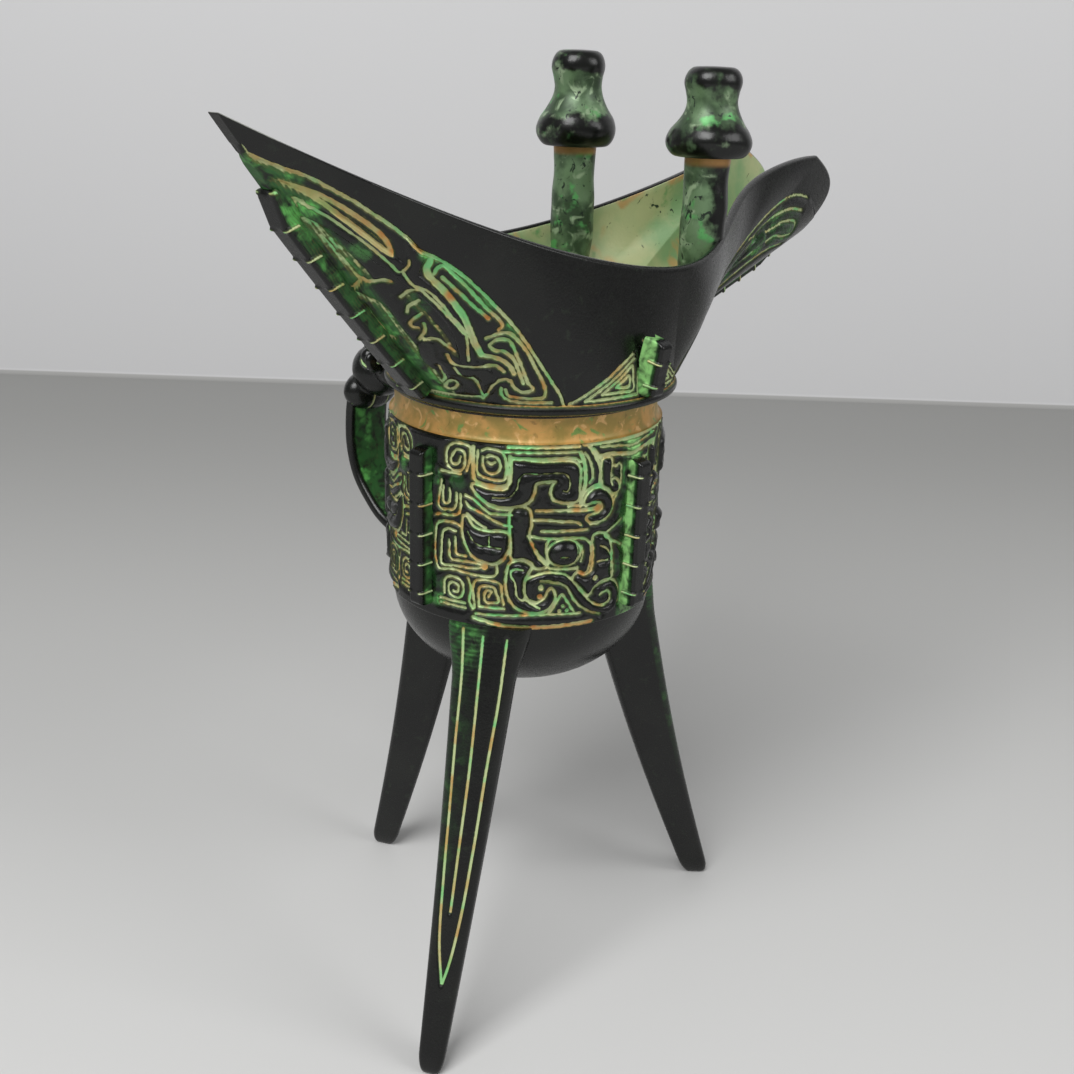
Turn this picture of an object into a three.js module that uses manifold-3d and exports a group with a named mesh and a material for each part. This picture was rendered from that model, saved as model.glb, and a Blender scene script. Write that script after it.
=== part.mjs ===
// A bronze wine goblet of the jue kind on three blade legs, in millimetres, +Z up.
// The spout points along +X, the tail along -X and the handle along +Y.
// Its pieces are the parts a bronze founder makes moulds for: a round-bottomed cup, a flared mouth
// with spout and tail, three legs, two capped posts, a strap handle with a beast head, and flanges.
import * as THREE from 'three';
import Module from 'manifold-3d';
import { mergeVertices } from 'three/addons/utils/BufferGeometryUtils.js';

const wasm = await Module();
wasm.setup();

const { lerp } = THREE.MathUtils;
const radians = THREE.MathUtils.degToRad;

// Joints between pieces
const seamGap = 0.3;            // left where one piece is cut to lie against another
const cutOverrun = 3;           // how deep a piece is drawn into its neighbour before it is cut back

// Cup
const cupRadius = 31.8;         // outside of the relief band
const cupWall = 2.6;            // thinnest wall, behind the hollow moulding
const bowlDepth = 23;           // round bottom below the band
const bandBottomZ = 101;        // height of the band's lower edge above the floor
const bandHeight = 42.8;
const bandRelief = 0.9;         // the band stands this far proud of the round bottom
const mouldingHeight = 6.2;     // hollow moulding between the band and the mouth
const mouldingDepth = 1.3;
const cupFacets = 60;
const bowlSteps = 7;

// Mask on the band: raised bodies in each quarter between two mould seams. An outline is [across, up]
// in hundredths of the quarter's width, from the seam at the tail or spout, and of the band's height.
const maskProud = 0.95;         // the bodies stand this far proud of the band
const maskSunk = 0.6;           // and are sunk this far into it
const maskStep = 6;             // longest edge of a body's face, so that it follows the band round
const maskCurveSteps = 2;       // points of a body's outline for each one given here
const hornOutline = [[24, 77], [31, 75.5], [38.6, 76], [40.4, 80], [40.6, 90], [54, 90.5], [68, 90],
  [70.5, 80], [70, 71], [63, 70.6], [59, 75], [60.3, 81], [53, 81.3], [50.5, 77], [48, 71], [40, 67],
  [33, 67.5], [28, 71]];
const clawOutline = [[20.4, 59.3], [24, 54.7], [30, 52.8], [39, 53], [40.2, 48], [38.5, 41], [34, 36.9],
  [29, 37.4], [24, 40.2], [21.2, 45.6], [19.6, 52.6]];
const noseOutline = [[42, 66.1], [48, 66.1], [49.2, 58.4], [48.4, 53.3], [50, 46.7], [53, 41.1],
  [56.7, 36.2], [52.9, 35.5], [47, 40.4], [42.4, 40.2], [42, 50]];
const earOutline = [[74, 68.2], [74.9, 71.5], [77.7, 74.5], [81, 75], [84.5, 73], [87.3, 69.6],
  [88.1, 65.4], [87.3, 62], [85, 59.1], [81, 57.9], [77.3, 58.4], [75.7, 60.3], [79, 61.2], [82.2, 62.2],
  [83.5, 64.5], [82.7, 67.5], [80, 68.9], [77, 68.7]];
const crestOutline = [[82.7, 90], [86, 89.5], [86, 82], [86.7, 77.8], [89.3, 78], [91, 75.7],
  [90.4, 72.2], [88.8, 71.8], [86.5, 74.3], [83.3, 76.6], [82.5, 79.5]];
const jawOutline = [[49.8, 35.5], [46, 38.1], [41.6, 36.4], [40.2, 29.2], [40.6, 21.5], [43.2, 15],
  [48, 11.4], [54.1, 10.7], [58.9, 13.1], [61.1, 18.2], [59.7, 22.4], [57.3, 17.8], [53.3, 14.7],
  [49.2, 16.8], [47.2, 21], [47.2, 28], [48.6, 32.2]];
const cheekOutline = [[79.7, 49.8], [85.3, 49.1], [88.1, 43.2], [89.7, 25.2], [84, 24.3], [77.7, 18.2],
  [70, 27.8], [72, 30.4], [75, 28.5], [78.9, 30.4], [80, 39.7]];
const maskOutlines = [hornOutline, clawOutline, noseOutline, earOutline, crestOutline, cheekOutline,
  jawOutline];
const maskEyePlace = [65, 42.5];
const maskEyeSize = [3.5, 2.8, 1.4];  // half its width and height, and how far it stands proud
const maskEyeFacets = 12;

const bandTopZ = bandBottomZ + bandHeight;
const seatZ = bandTopZ + mouldingHeight;
const cupInnerRadius = cupRadius - mouldingDepth - cupWall;

// Mouth: the neck rises from a round ridge and opens into a spout and a tail
const neckRadius = 33;          // outside of the neck just above the ridge
const neckShift = 1.4;          // the neck stands this far towards the spout from the cup's axis
const ridgeProud = 0.8;
const ridgeHeight = 2.4;
const mouthWall = 2.4;
const mouthHalfWidth = 31.6;
const saddleX = 14;             // the rim is lowest and widest here
const saddleRise = 26.2;        // lowest rim above the ridge
const saddleAngle = radians(64);

const tailReach = 82.3;         // tip of the tail from the cup's axis
const tailRise = 31.3;          // tip of the tail above the saddle
const tailSweep = 1.65;         // how late the tail's rim turns upward
const tailTaper = 1.9;          // how late the tail's sides draw in
const tailTipHalf = 1.4;
const tailSag = 3;              // the tail's keel hangs this far below a straight line
const tailTipInset = 2.4;       // walls at the tip, as so many wall thicknesses

const spoutCornerX = 102.8;     // upper corner of the spout's end
const spoutCornerRise = 19;     // corner above the saddle
const spoutKeelX = 106.6;       // lowest point of the spout's end
const spoutDepth = 23;          // corner above the keel
const spoutHalfWidth = 12;
const spoutStartX = 80;         // the sides have drawn in to the spout's width here
const spoutSwell = 8;           // how far the spout's sides stand out below the rim
const spoutCornerAngle = radians(14);
const lipBulge = 8.6;           // the end of the spout rounds forward this far
const lipLift = 1.5;            // how high on the end the bulge lies
const lipFullness = 0.75;       // below 1 the end is a U, at 2 it is a V

const lipSteps = 7;
const spoutSteps = 12;
const tailSteps = 14;
const wallSteps = 6;

const seatInnerRadius = cupInnerRadius + neckShift;
const wallBaseZ = seatZ + ridgeHeight;
const saddleZ = wallBaseZ + saddleRise;
const spoutCornerZ = saddleZ + spoutCornerRise;
const spoutKeelZ = spoutCornerZ - spoutDepth;
const tailTipX = -tailReach;
const tailTipZ = saddleZ + tailRise;

// Posts, which stand inside the mouth at the root of the spout
const postX = 38;
const postY = 19.8;
const postRadius = 5.4;
const postFootRadius = 6.9;
const postRise = 21;            // top of the post above the saddle
const postSunk = 13;            // foot of the post below the saddle
const postFlare = 12;           // length over which the foot widens
const roundFacets = 24;

// Caps on the posts
const capHeightHandleSide = 22.4;
const capHeightFront = 19.6;
const capRadius = 9.9;
const capRimRadius = 8.2;
const capWaistRadius = 5.8;
const capHeadRadius = 6.7;
const capCrownRadius = 4.8;
const capRimLevel = 0.15;       // levels up the cap, as shares of its height
const capShoulderLevel = 0.27;
const capSlopeLevel = 0.43;
const capWaistLevel = 0.6;
const capHeadLevel = 0.86;
const capShoulderDraw = 0.3;    // how far the bell has drawn in to its waist, as a share
const capSlopeDraw = 0.8;
const postTopZ = saddleZ + postRise;

// Legs: bowed blades with a flat outer face and a sharp inner edge
const legStanceX = 53;          // feet beside the front, along X from the cup's axis
const legStanceFront = 24;      // the same feet, towards the front
const legStanceHandle = 51;     // foot under the handle
const legTopInset = 0.7;        // outer face at the top, inside the band's surface
const legTopTurn = radians(3.7);  // the two front legs' tops stand this far round towards the front
const legTopWidth = 16.5;
const legTopDepth = 16.4;
const legFootWidth = 6;
const legFootDepth = 7.2;
const legTipShare = 0.5;        // width and depth of the flat tip as a share of the foot
const legTipRound = 5;          // height over which the foot rounds in to its tip
const legEdge = 0.16;           // width of the sharp edge as a share of the face
const legShoulder = 0.2;        // depth of the flat sides as a share of the depth
const legBow = 1.8;             // the outer face is hollowed this far at mid height
const legCollar = 3;            // the leg is drawn up into the band this far before it is cut back
const legSteps = 8;

// Handle: a strap bent from the top of the band round to its lower edge
const handleReach = 58.2;       // outside of the strap from the cup's axis
const handleTopDrop = 2;        // upper end below the seat of the mouth
const handleShoulder = 11;      // height over which the strap turns down
const handleFootRise = 15.3;    // height over which the strap turns back in
const strapUpperBend = [[0.5, 0.84], [0.88, 0.42]];  // shares outwards and up of each bend
const strapLowerBend = [[0.92, 1], [0.74, 0.58], [0.55, 0.31]];
const strapWidth = 13;
const strapThick = 3.6;
const strapSteps = 20;

// Beast head over the upper bend of the handle
const skullPlace = 0.17;        // how far along the strap each part of the head sits
const snoutPlace = 0.29;
const muzzlePlace = 0.35;
const skullSize = [7.6, 7.6, 6.8];
const snoutSize = [5.4, 6, 5.4];
const muzzleSize = [6.2, 4.2, 3.4];
const earSize = [3.4, 1.7, 3.2];
const eyeRadius = 1.8;
const eyeForward = 0.75;        // eyes on the skull, as a share of its depth
const hornRadius = 1.9;
const hornLength = 8;
const hornSplay = radians(24);
const headFacets = 14;
const headRings = 10;

// Flanges: notched fins that stand on the mould seams
const flangeThick = 4.2;
const bodyFlangeProud = 3.8;
const keelFlangeProud = 3.1;
const keelFlangeTaper = 0.12;   // share of the keel over which the flange fades out at its end
const keelFlangeTip = 0.35;     // what is left of it at the end
const neckFlangeProud = 3.4;
const flangeMarginLow = 3;      // body flanges stop this far inside the band's lower edge
const flangeMarginHigh = 5.2;   // and this far below its upper edge
const flangeRound = 1.2;
const tailFlangeStart = 0.02;   // share of the way up the tail's keel
const tailFlangeEnd = 0.78;
const spoutFlangeStart = 0.03;
const spoutFlangeEnd = 0.93;
const neckFlangeHeight = 14;
const neckFlangeLean = 2.4;     // its upper end stands this much further out
const keelNotchPitch = 7.6;
const neckNotchPitch = 5.4;
const bodyNotchPitch = 6.9;
const notchDepth = 0.8;
const notchWidth = 0.9;
const tailNotchTilt = radians(14);  // the tail's notches lie nearly level
const flangeSteps = 8;

// Three.js geometry to a solid for cutting, and back
function toSolid(geometry) {
  const bare = geometry.clone();
  for (const name of Object.keys(bare.attributes)) {
    if (name !== 'position') bare.deleteAttribute(name);
  }
  const merged = mergeVertices(bare);
  const corners = merged.index.array;
  const kept = [];
  for (let i = 0; i < corners.length; i += 3) {
    const [a, b, c] = [corners[i], corners[i + 1], corners[i + 2]];
    if (a !== b && b !== c && c !== a) kept.push(a, b, c);
  }
  const mesh = new wasm.Mesh({
    numProp: 3,
    vertProperties: new Float32Array(merged.attributes.position.array),
    triVerts: new Uint32Array(kept),
  });
  return new wasm.Manifold(mesh);
}

function toGeometry(solid) {
  const mesh = solid.getMesh();
  const geometry = new THREE.BufferGeometry();
  geometry.setAttribute('position', new THREE.BufferAttribute(mesh.vertProperties, 3));
  geometry.setIndex(new THREE.BufferAttribute(mesh.triVerts, 1));
  return geometry;
}

// A cut can leave slivers beyond the neighbour: the piece is its largest body
function cutBack(geometry, ...cutters) {
  let solid = toSolid(geometry);
  for (const cutter of cutters) solid = solid.subtract(cutter);
  const bodies = solid.decompose().sort((a, b) => b.volume() - a.volume());
  return toGeometry(bodies[0]);
}

// A closed mesh over rings of points that run anticlockwise as the rings rise.
// Its ends are flat fans, or the last ring joins the first where it is a tube's wall.
function skin(rings, joined) {
  const count = rings[0].length;
  const position = rings.flat().flatMap((point) => [point.x, point.y, point.z]);
  const index = [];
  const spans = joined ? rings.length : rings.length - 1;
  for (let k = 0; k < spans; k++) {
    const low = k * count;
    const high = ((k + 1) % rings.length) * count;
    for (let i = 0; i < count; i++) {
      const j = (i + 1) % count;
      index.push(low + i, low + j, high + j, low + i, high + j, high + i);
    }
  }
  if (!joined) {
    const top = (rings.length - 1) * count;
    for (let i = 1; i < count - 1; i++) {
      index.push(0, i + 1, i);
      index.push(top, top + i, top + i + 1);
    }
  }
  const geometry = new THREE.BufferGeometry();
  geometry.setAttribute('position', new THREE.Float32BufferAttribute(position, 3));
  geometry.setIndex(index);
  return geometry;
}

// A profile of [radius, height] turned about +Z
function turned(profile, facets) {
  const points = profile.map(([radius, height]) => new THREE.Vector2(radius, height));
  return new THREE.LatheGeometry(points, facets).rotateX(Math.PI / 2);
}

// A round bottom from the axis out to the given radius, left out at its last point
function roundBottom(radius, lowZ, topZ) {
  const profile = [];
  for (let i = 0; i < bowlSteps; i++) {
    const angle = (i / bowlSteps) * Math.PI / 2;
    profile.push([radius * Math.sin(angle), topZ - (topZ - lowZ) * Math.cos(angle)]);
  }
  return profile;
}

// Outside of the cup, from the middle of the bottom to the seat of the mouth
function cupOutside(grow) {
  const bowlRadius = cupRadius - bandRelief + grow;
  const bandRadius = cupRadius + grow;
  const mouldingRadius = cupRadius - mouldingDepth + grow;
  return [
    ...roundBottom(bowlRadius, bandBottomZ - bowlDepth - grow, bandBottomZ),
    [bowlRadius, bandBottomZ - grow],
    [bandRadius, bandBottomZ + bandRelief - grow],
    [bandRadius, bandTopZ + grow],
    [mouldingRadius, bandTopZ + mouldingDepth + grow],
    [mouldingRadius, seatZ - mouldingDepth],
    [bandRadius, seatZ],
  ];
}

// A solid over the flat quarter of the band, wrapped round it. Its height becomes the distance out.
function wrapped(solid) {
  return solid.refineToLength(maskStep).warp((point) => {
    const [run, up, out] = point;
    const radius = cupRadius - maskSunk + out;
    point[0] = radius * Math.cos(run / cupRadius);
    point[1] = radius * Math.sin(run / cupRadius);
    point[2] = bandBottomZ + up;
  });
}

// A place in the flat quarter from hundredths of its width and height
function onQuarter([across, up]) {
  return [(across / 100) * cupRadius * Math.PI / 2, (up / 100) * bandHeight];
}

function maskBody(outline) {
  const corners = outline.map(onQuarter).map(([run, up]) => new THREE.Vector3(run, up, 0));
  const edge = new THREE.CatmullRomCurve3(corners, true, 'centripetal');
  const ring = edge.getPoints(corners.length * maskCurveSteps).slice(1).map(({ x, y }) => [x, y]);
  return wrapped(new wasm.CrossSection([ring], 'NonZero').extrude(maskSunk + maskProud));
}

// The mask's bodies in the quarter between the spout and the handle
function maskQuarter() {
  const [eyeRun, eyeUp] = onQuarter(maskEyePlace);
  const eye = new THREE.SphereGeometry(1, maskEyeFacets, maskEyeFacets).scale(...maskEyeSize);
  let mask = wrapped(toSolid(eye.translate(eyeRun, eyeUp, maskSunk)));
  for (const outline of maskOutlines) mask = mask.add(maskBody(outline));
  return mask;
}

function cup() {
  const floorZ = bandBottomZ - bowlDepth + cupWall;
  const inside = [...roundBottom(cupInnerRadius, floorZ, bandBottomZ), [cupInnerRadius, bandBottomZ]];
  const profile = [...cupOutside(0), [cupInnerRadius, seatZ], ...inside.reverse()];
  const quarter = maskQuarter();
  const half = quarter.add(quarter.mirror([1, 0, 0]));
  const mask = half.add(half.mirror([0, 1, 0]));
  return toGeometry(toSolid(turned(profile, cupFacets)).add(mask));
}

// Height of the rim at a distance along X from the cup's axis
function rimHeight(x) {
  if (x < saddleX) {
    return saddleZ + tailRise * ((saddleX - x) / (saddleX + tailReach)) ** tailSweep;
  }
  const share = (x - saddleX) / (spoutCornerX - saddleX);
  return saddleZ + spoutCornerRise * (1 - Math.cos(Math.PI * share)) / 2;
}

// Half of the rim, from the keel of the spout round to the tip of the tail: where each point of the
// rim lies, and the direction round the cup of the foot of its wall
function rimStations(inset) {
  const stations = [];
  const half = spoutHalfWidth - inset;
  const lipRise = spoutDepth - inset;
  for (let i = 0; i < lipSteps; i++) {
    const turn = (i / lipSteps) * Math.PI / 2;
    const share = 1 - Math.cos(turn);
    const forward = lipBulge * Math.sin(Math.PI * share ** lipLift);
    stations.push({
      angle: spoutCornerAngle * (i / lipSteps),
      rim: new THREE.Vector3(
        lerp(spoutKeelX, spoutCornerX, share) + forward,
        half * Math.sin(turn) ** lipFullness,
        spoutCornerZ - lipRise * (1 - share),
      ),
    });
  }
  for (let i = 0; i < spoutSteps; i++) {
    const x = lerp(spoutCornerX, saddleX, i / spoutSteps);
    const share = Math.min(1, (x - saddleX) / (spoutStartX - saddleX));
    const opening = (1 + Math.cos(Math.PI * share)) / 2;
    stations.push({
      angle: lerp(spoutCornerAngle, saddleAngle, i / spoutSteps),
      rim: new THREE.Vector3(x, lerp(half, mouthHalfWidth - inset, opening), rimHeight(x)),
    });
  }
  const tipHalf = Math.max(tailTipHalf - inset, tailTipHalf / 4);
  const tipX = tailTipX + inset * tailTipInset;
  for (let i = 0; i <= tailSteps; i++) {
    const share = i / tailSteps;
    const x = lerp(saddleX, tipX, share);
    const half = lerp(mouthHalfWidth - inset, tipHalf, share ** tailTaper);
    stations.push({
      angle: lerp(saddleAngle, Math.PI - tailTipHalf / neckRadius, share),
      rim: new THREE.Vector3(x, half, rimHeight(x)),
    });
  }
  return stations;
}

// A point of the wall above a rim station, from the ridge at height 0 to the rim at height 1
function wallPoint({ angle, rim }, height, inset, lift) {
  const radius = neckRadius - inset;
  const footX = neckShift + radius * Math.cos(angle);
  const foot = new THREE.Vector3(footX, radius * Math.sin(angle), wallBaseZ);
  const middle = foot.clone().add(rim).multiplyScalar(0.5);
  const alongSpout = Math.min(1, angle / saddleAngle);
  middle.y += spoutSwell * Math.sin(Math.PI * alongSpout);
  middle.z -= tailSag * Math.max(0, -Math.cos(angle));
  const upper = rim.clone().setZ(rim.z + lift);
  return foot.multiplyScalar((1 - height) ** 2)
    .addScaledVector(middle, 2 * height * (1 - height))
    .addScaledVector(upper, height ** 2);
}

// A whole ring from its half: the first point lies on the mirror plane
function mirrored(half) {
  const others = half.slice(1).map((point) => new THREE.Vector3(point.x, -point.y, point.z));
  return [...half, ...others.reverse()];
}

function neckRing(radius, z) {
  const half = rimStations(0).map(({ angle }) => (
    new THREE.Vector3(neckShift + radius * Math.cos(angle), radius * Math.sin(angle), z)
  ));
  return mirrored(half);
}

// The mouth between two insets from its outside. "lift" carries the rim up on a cutter.
function mouthBetween(outer, inner, lift) {
  const rings = [
    neckRing(neckRadius + ridgeProud - outer, seatZ - lift),
    neckRing(neckRadius + ridgeProud - outer, wallBaseZ),
  ];
  for (let k = 0; k <= wallSteps; k++) {
    const half = rimStations(outer).map((station) => wallPoint(station, k / wallSteps, outer, lift));
    rings.push(mirrored(half));
  }
  for (let k = wallSteps; k >= 0; k--) {
    const half = rimStations(inner).map((station) => wallPoint(station, k / wallSteps, inner, lift));
    rings.push(mirrored(half));
  }
  rings.push(neckRing(seatInnerRadius + mouthWall - inner, seatZ - lift));
  return skin(rings, true);
}

function post(side, wallCutter) {
  const footZ = saddleZ - postSunk;
  const profile = [
    [0, footZ],
    [postFootRadius, footZ],
    [postFootRadius, footZ + postSunk / 3],
    [postRadius, footZ + postSunk / 3 + postFlare],
    [postRadius, postTopZ],
    [0, postTopZ],
  ];
  const stem = turned(profile, roundFacets).translate(postX, side * postY, 0);
  return cutBack(stem, wallCutter);
}

// A cap: a bell with a drawn-in waist and a small round head
function postCap(side, height) {
  const profile = [
    [0, 0],
    [capRimRadius, 0],
    [capRadius, height * capRimLevel],
    [lerp(capRadius, capWaistRadius, capShoulderDraw), height * capShoulderLevel],
    [lerp(capRadius, capWaistRadius, capSlopeDraw), height * capSlopeLevel],
    [capWaistRadius, height * capWaistLevel],
    [capHeadRadius, height * capHeadLevel],
    [capCrownRadius, height],
    [0, height],
  ];
  return turned(profile, roundFacets).translate(postX, side * postY, postTopZ);
}

// A leg towards a foot on the floor, wider all over by "grow" where it is a cutter.
// "turn" carries its top round the cup.
function leg(footX, footY, turn, grow) {
  const footReach = Math.hypot(footX, footY);
  const topReach = cupRadius - legTopInset;
  const topZ = bandBottomZ + legCollar;
  const sideways = topReach * Math.sin(turn);
  const shares = [0, legTipRound / topZ];
  for (let k = 1; k <= legSteps; k++) shares.push(k / legSteps);
  const rings = shares.map((share) => {
    const tip = share > 0 ? 1 : legTipShare;
    const half = tip * lerp(legFootWidth, legTopWidth, share) / 2 + grow;
    const depth = tip * lerp(legFootDepth, legTopDepth, share) + grow;
    const footFace = footReach + tip * legFootDepth / 2;
    const face = lerp(footFace, topReach, share) - legBow * Math.sin(Math.PI * share) + grow;
    const z = lerp(0, topZ + grow, share);
    const side = sideways * share;
    const shoulder = face - depth * legShoulder;
    const edge = face - depth - grow;
    return [
      new THREE.Vector3(face, side - half, z),
      new THREE.Vector3(face, side + half, z),
      new THREE.Vector3(shoulder, side + half, z),
      new THREE.Vector3(edge, side + half * legEdge, z),
      new THREE.Vector3(edge, side - half * legEdge, z),
      new THREE.Vector3(shoulder, side - half, z),
    ];
  });
  return skin(rings, false).rotateZ(Math.atan2(footY, footX));
}

// Middle line of the handle's strap, from its upper end to its lower end
function strapPath() {
  const bendZ = seatZ - handleTopDrop - handleShoulder;
  const lowerZ = bandBottomZ;
  const middleY = handleReach - strapThick / 2;
  const rootY = cupRadius - cutOverrun;
  const points = [
    [rootY, bendZ + handleShoulder - strapThick / 2],
    ...strapUpperBend.map(([out, up]) => [lerp(rootY, middleY, out), bendZ + handleShoulder * up]),
    [middleY, (bendZ + lowerZ + handleFootRise) / 2],
    ...strapLowerBend.map(([out, up]) => [lerp(rootY, middleY, out), lowerZ + handleFootRise * up]),
    [rootY, lowerZ],
  ];
  return new THREE.CatmullRomCurve3(points.map(([y, z]) => new THREE.Vector3(0, y, z)), false, 'centripetal');
}

// The strap, thicker and wider by "grow" where it is a cutter
function strap(grow) {
  const path = strapPath();
  const halfWidth = strapWidth / 2 + grow;
  const halfThick = strapThick / 2 + grow;
  const rings = [];
  for (let k = 0; k <= strapSteps; k++) {
    const centre = path.getPoint(k / strapSteps);
    const along = path.getTangent(k / strapSteps);
    const outward = new THREE.Vector3(0, -along.z, along.y);
    rings.push([[1, -1], [-1, -1], [-1, 1], [1, 1]].map(([across, out]) => (
      new THREE.Vector3(across * halfWidth, centre.y, centre.z).addScaledVector(outward, out * halfThick)
    )));
  }
  return skin(rings, false);
}

function egg([width, depth, height], x, y, z) {
  return new THREE.SphereGeometry(1, headFacets, headRings).scale(width, depth, height).translate(x, y, z);
}

// The beast head: skull, snout and muzzle in a line over the strap's bend, with eyes, ears and horns
function beastHead() {
  const path = strapPath();
  const [skull, snout, muzzle] = [skullPlace, snoutPlace, muzzlePlace].map((at) => path.getPoint(at));
  const [skullWidth, skullDepth, skullHeight] = skullSize;
  const eye = [eyeRadius, eyeRadius, eyeRadius];
  const eyeY = skull.y + skullDepth * eyeForward;
  const hornZ = skull.z + skullHeight + hornRadius;
  let head = toSolid(egg(skullSize, 0, skull.y, skull.z));
  head = head.add(toSolid(egg(snoutSize, 0, snout.y, snout.z)));
  head = head.add(toSolid(egg(muzzleSize, 0, muzzle.y, muzzle.z)));
  for (const side of [-1, 1]) {
    head = head.add(toSolid(egg(eye, side * skullWidth / 2, eyeY, skull.z)));
    head = head.add(toSolid(egg(earSize, side * skullWidth, skull.y, skull.z + skullHeight / 4)));
    const horn = new THREE.ConeGeometry(hornRadius, hornLength, headRings).rotateX(Math.PI / 2);
    horn.rotateY(side * hornSplay).translate(side * skullWidth / 2, skull.y, hornZ);
    head = head.add(toSolid(horn));
  }
  return toGeometry(head);
}

// Notches across an edge, evenly spaced by length
function notchPlaces(edge, pitch) {
  const line = new THREE.CurvePath();
  const points = edge.map(([r, z]) => new THREE.Vector3(r, 0, z));
  for (let i = 1; i < points.length; i++) line.add(new THREE.LineCurve3(points[i - 1], points[i]));
  const count = Math.max(1, Math.round(line.getLength() / pitch) - 1);
  const places = [];
  for (let i = 1; i <= count; i++) {
    const share = i / (count + 1);
    places.push({ at: line.getPoint(share), along: line.getTangent(share) });
  }
  return places;
}

// A flange from its outer edge and its root, both as [distance from the axis, height], turned to
// its place round the cup and cut back to the wall behind it. Its notches lie square to the edge
// unless a tilt from the level is given.
function flange(edge, root, heading, wallCutter, pitch, notchTilt) {
  const corners = [...edge, ...[...root].reverse()];
  const outline = new THREE.Shape(corners.map(([r, z]) => new THREE.Vector2(r, z)));
  const plate = new THREE.ExtrudeGeometry(outline, { depth: flangeThick, bevelEnabled: false });
  plate.rotateX(Math.PI / 2).translate(0, flangeThick / 2, 0);
  let solid = toSolid(plate);
  for (const { at, along } of notchPlaces(edge, pitch)) {
    const slot = new THREE.BoxGeometry(notchDepth * 2, flangeThick + cutOverrun, notchWidth);
    slot.rotateY(notchTilt ?? Math.atan2(along.x, along.z)).translate(at.x, 0, at.z);
    solid = solid.subtract(toSolid(slot));
  }
  return cutBack(toGeometry(solid).rotateZ(heading), wallCutter);
}

function bodyFlange(heading, wallCutter) {
  const outer = cupRadius + bodyFlangeProud;
  const inner = cupRadius - cutOverrun;
  const low = bandBottomZ + flangeMarginLow;
  const high = bandTopZ - flangeMarginHigh;
  const edge = [[outer - flangeRound, low], [outer, low + flangeRound],
    [outer, high - flangeRound], [outer - flangeRound, high]];
  return flange(edge, [[inner, low], [inner, high]], heading, wallCutter, bodyNotchPitch);
}

// A short flange on the neck, above the ridge
function neckFlange(heading, wallCutter) {
  const outer = neckRadius + neckFlangeProud;
  const inner = neckRadius - cutOverrun;
  const low = wallBaseZ + seamGap;
  const high = low + neckFlangeHeight;
  const top = outer + neckFlangeLean;
  const edge = [[outer, low], [top, high - flangeRound], [top - flangeRound, high]];
  const shiftedCutter = wallCutter.translate([-neckShift, 0, 0]);
  const plate = flange(edge, [[inner, low], [inner, high]], heading, shiftedCutter, neckNotchPitch);
  return plate.translate(neckShift, 0, 0);
}

// A flange along the keel of the tail or the spout
function keelFlange(station, startShare, endShare, heading, wallCutter, notchTilt) {
  const edge = [];
  const root = [];
  for (let i = 0; i <= flangeSteps; i++) {
    const height = lerp(startShare, endShare, i / flangeSteps);
    const here = wallPoint(station, height, 0, 0);
    const ahead = wallPoint(station, height + 1 / wallSteps ** 2, 0, 0);
    const r = Math.abs(here.x);
    const run = Math.abs(ahead.x) - r;
    const rise = ahead.z - here.z;
    const length = Math.hypot(run, rise);
    const fade = Math.min(1, (endShare - height) / keelFlangeTaper);
    const proud = keelFlangeProud * lerp(keelFlangeTip, 1, fade);
    edge.push([r + proud * rise / length, here.z - proud * run / length]);
    root.push([r - cutOverrun * rise / length, here.z + cutOverrun * run / length]);
  }
  return flange(edge, root, heading, wallCutter, keelNotchPitch, notchTilt);
}

// Bronze under its patina
const darkBronze = { color: 0x1b201c, roughness: 0.4, metalness: 0.7 };
const greenBronze = { color: 0x4f7d55, roughness: 0.5, metalness: 0.5 };
const ochreBronze = { color: 0x5a5a34, roughness: 0.5, metalness: 0.6 };

const goblet = new THREE.Group();

function addPiece(name, geometry, finish) {
  const mesh = new THREE.Mesh(geometry, new THREE.MeshStandardMaterial(finish));
  mesh.name = name;
  goblet.add(mesh);
}

const towardsSpout = 0;
const towardsHandle = Math.PI / 2;
const towardsTail = Math.PI;
const towardsFront = -Math.PI / 2;

const cupCutter = toSolid(turned([...cupOutside(seamGap), [0, seatZ]], cupFacets));
const mouthCutter = toSolid(mouthBetween(-seamGap, mouthWall + seamGap, seamGap));
const bodyCutter = cupCutter.add(mouthCutter);
const handleLegCutter = toSolid(leg(0, legStanceHandle, 0, seamGap));
const strapCutter = toSolid(strap(seamGap));
const keelStations = rimStations(0);
const spoutKeel = keelStations[0];
const tailKeel = keelStations[keelStations.length - 1];

addPiece('cup', cup(), ochreBronze);
addPiece('mouth', toGeometry(toSolid(mouthBetween(0, mouthWall, 0))), darkBronze);

addPiece('leg_handle_side', cutBack(leg(0, legStanceHandle, 0, 0), cupCutter), darkBronze);
addPiece('leg_tail_side',
  cutBack(leg(-legStanceX, -legStanceFront, legTopTurn, 0), cupCutter), darkBronze);
addPiece('leg_spout_side',
  cutBack(leg(legStanceX, -legStanceFront, -legTopTurn, 0), cupCutter), darkBronze);

addPiece('post_front', post(-1, mouthCutter), greenBronze);
addPiece('post_handle_side', post(1, mouthCutter), greenBronze);
addPiece('post_cap_front', postCap(-1, capHeightFront), greenBronze);
addPiece('post_cap_handle_side', postCap(1, capHeightHandleSide), greenBronze);

addPiece('handle_strap', cutBack(strap(0), bodyCutter, handleLegCutter), darkBronze);
addPiece('handle_beast_head', cutBack(beastHead(), bodyCutter, strapCutter), darkBronze);

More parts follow.
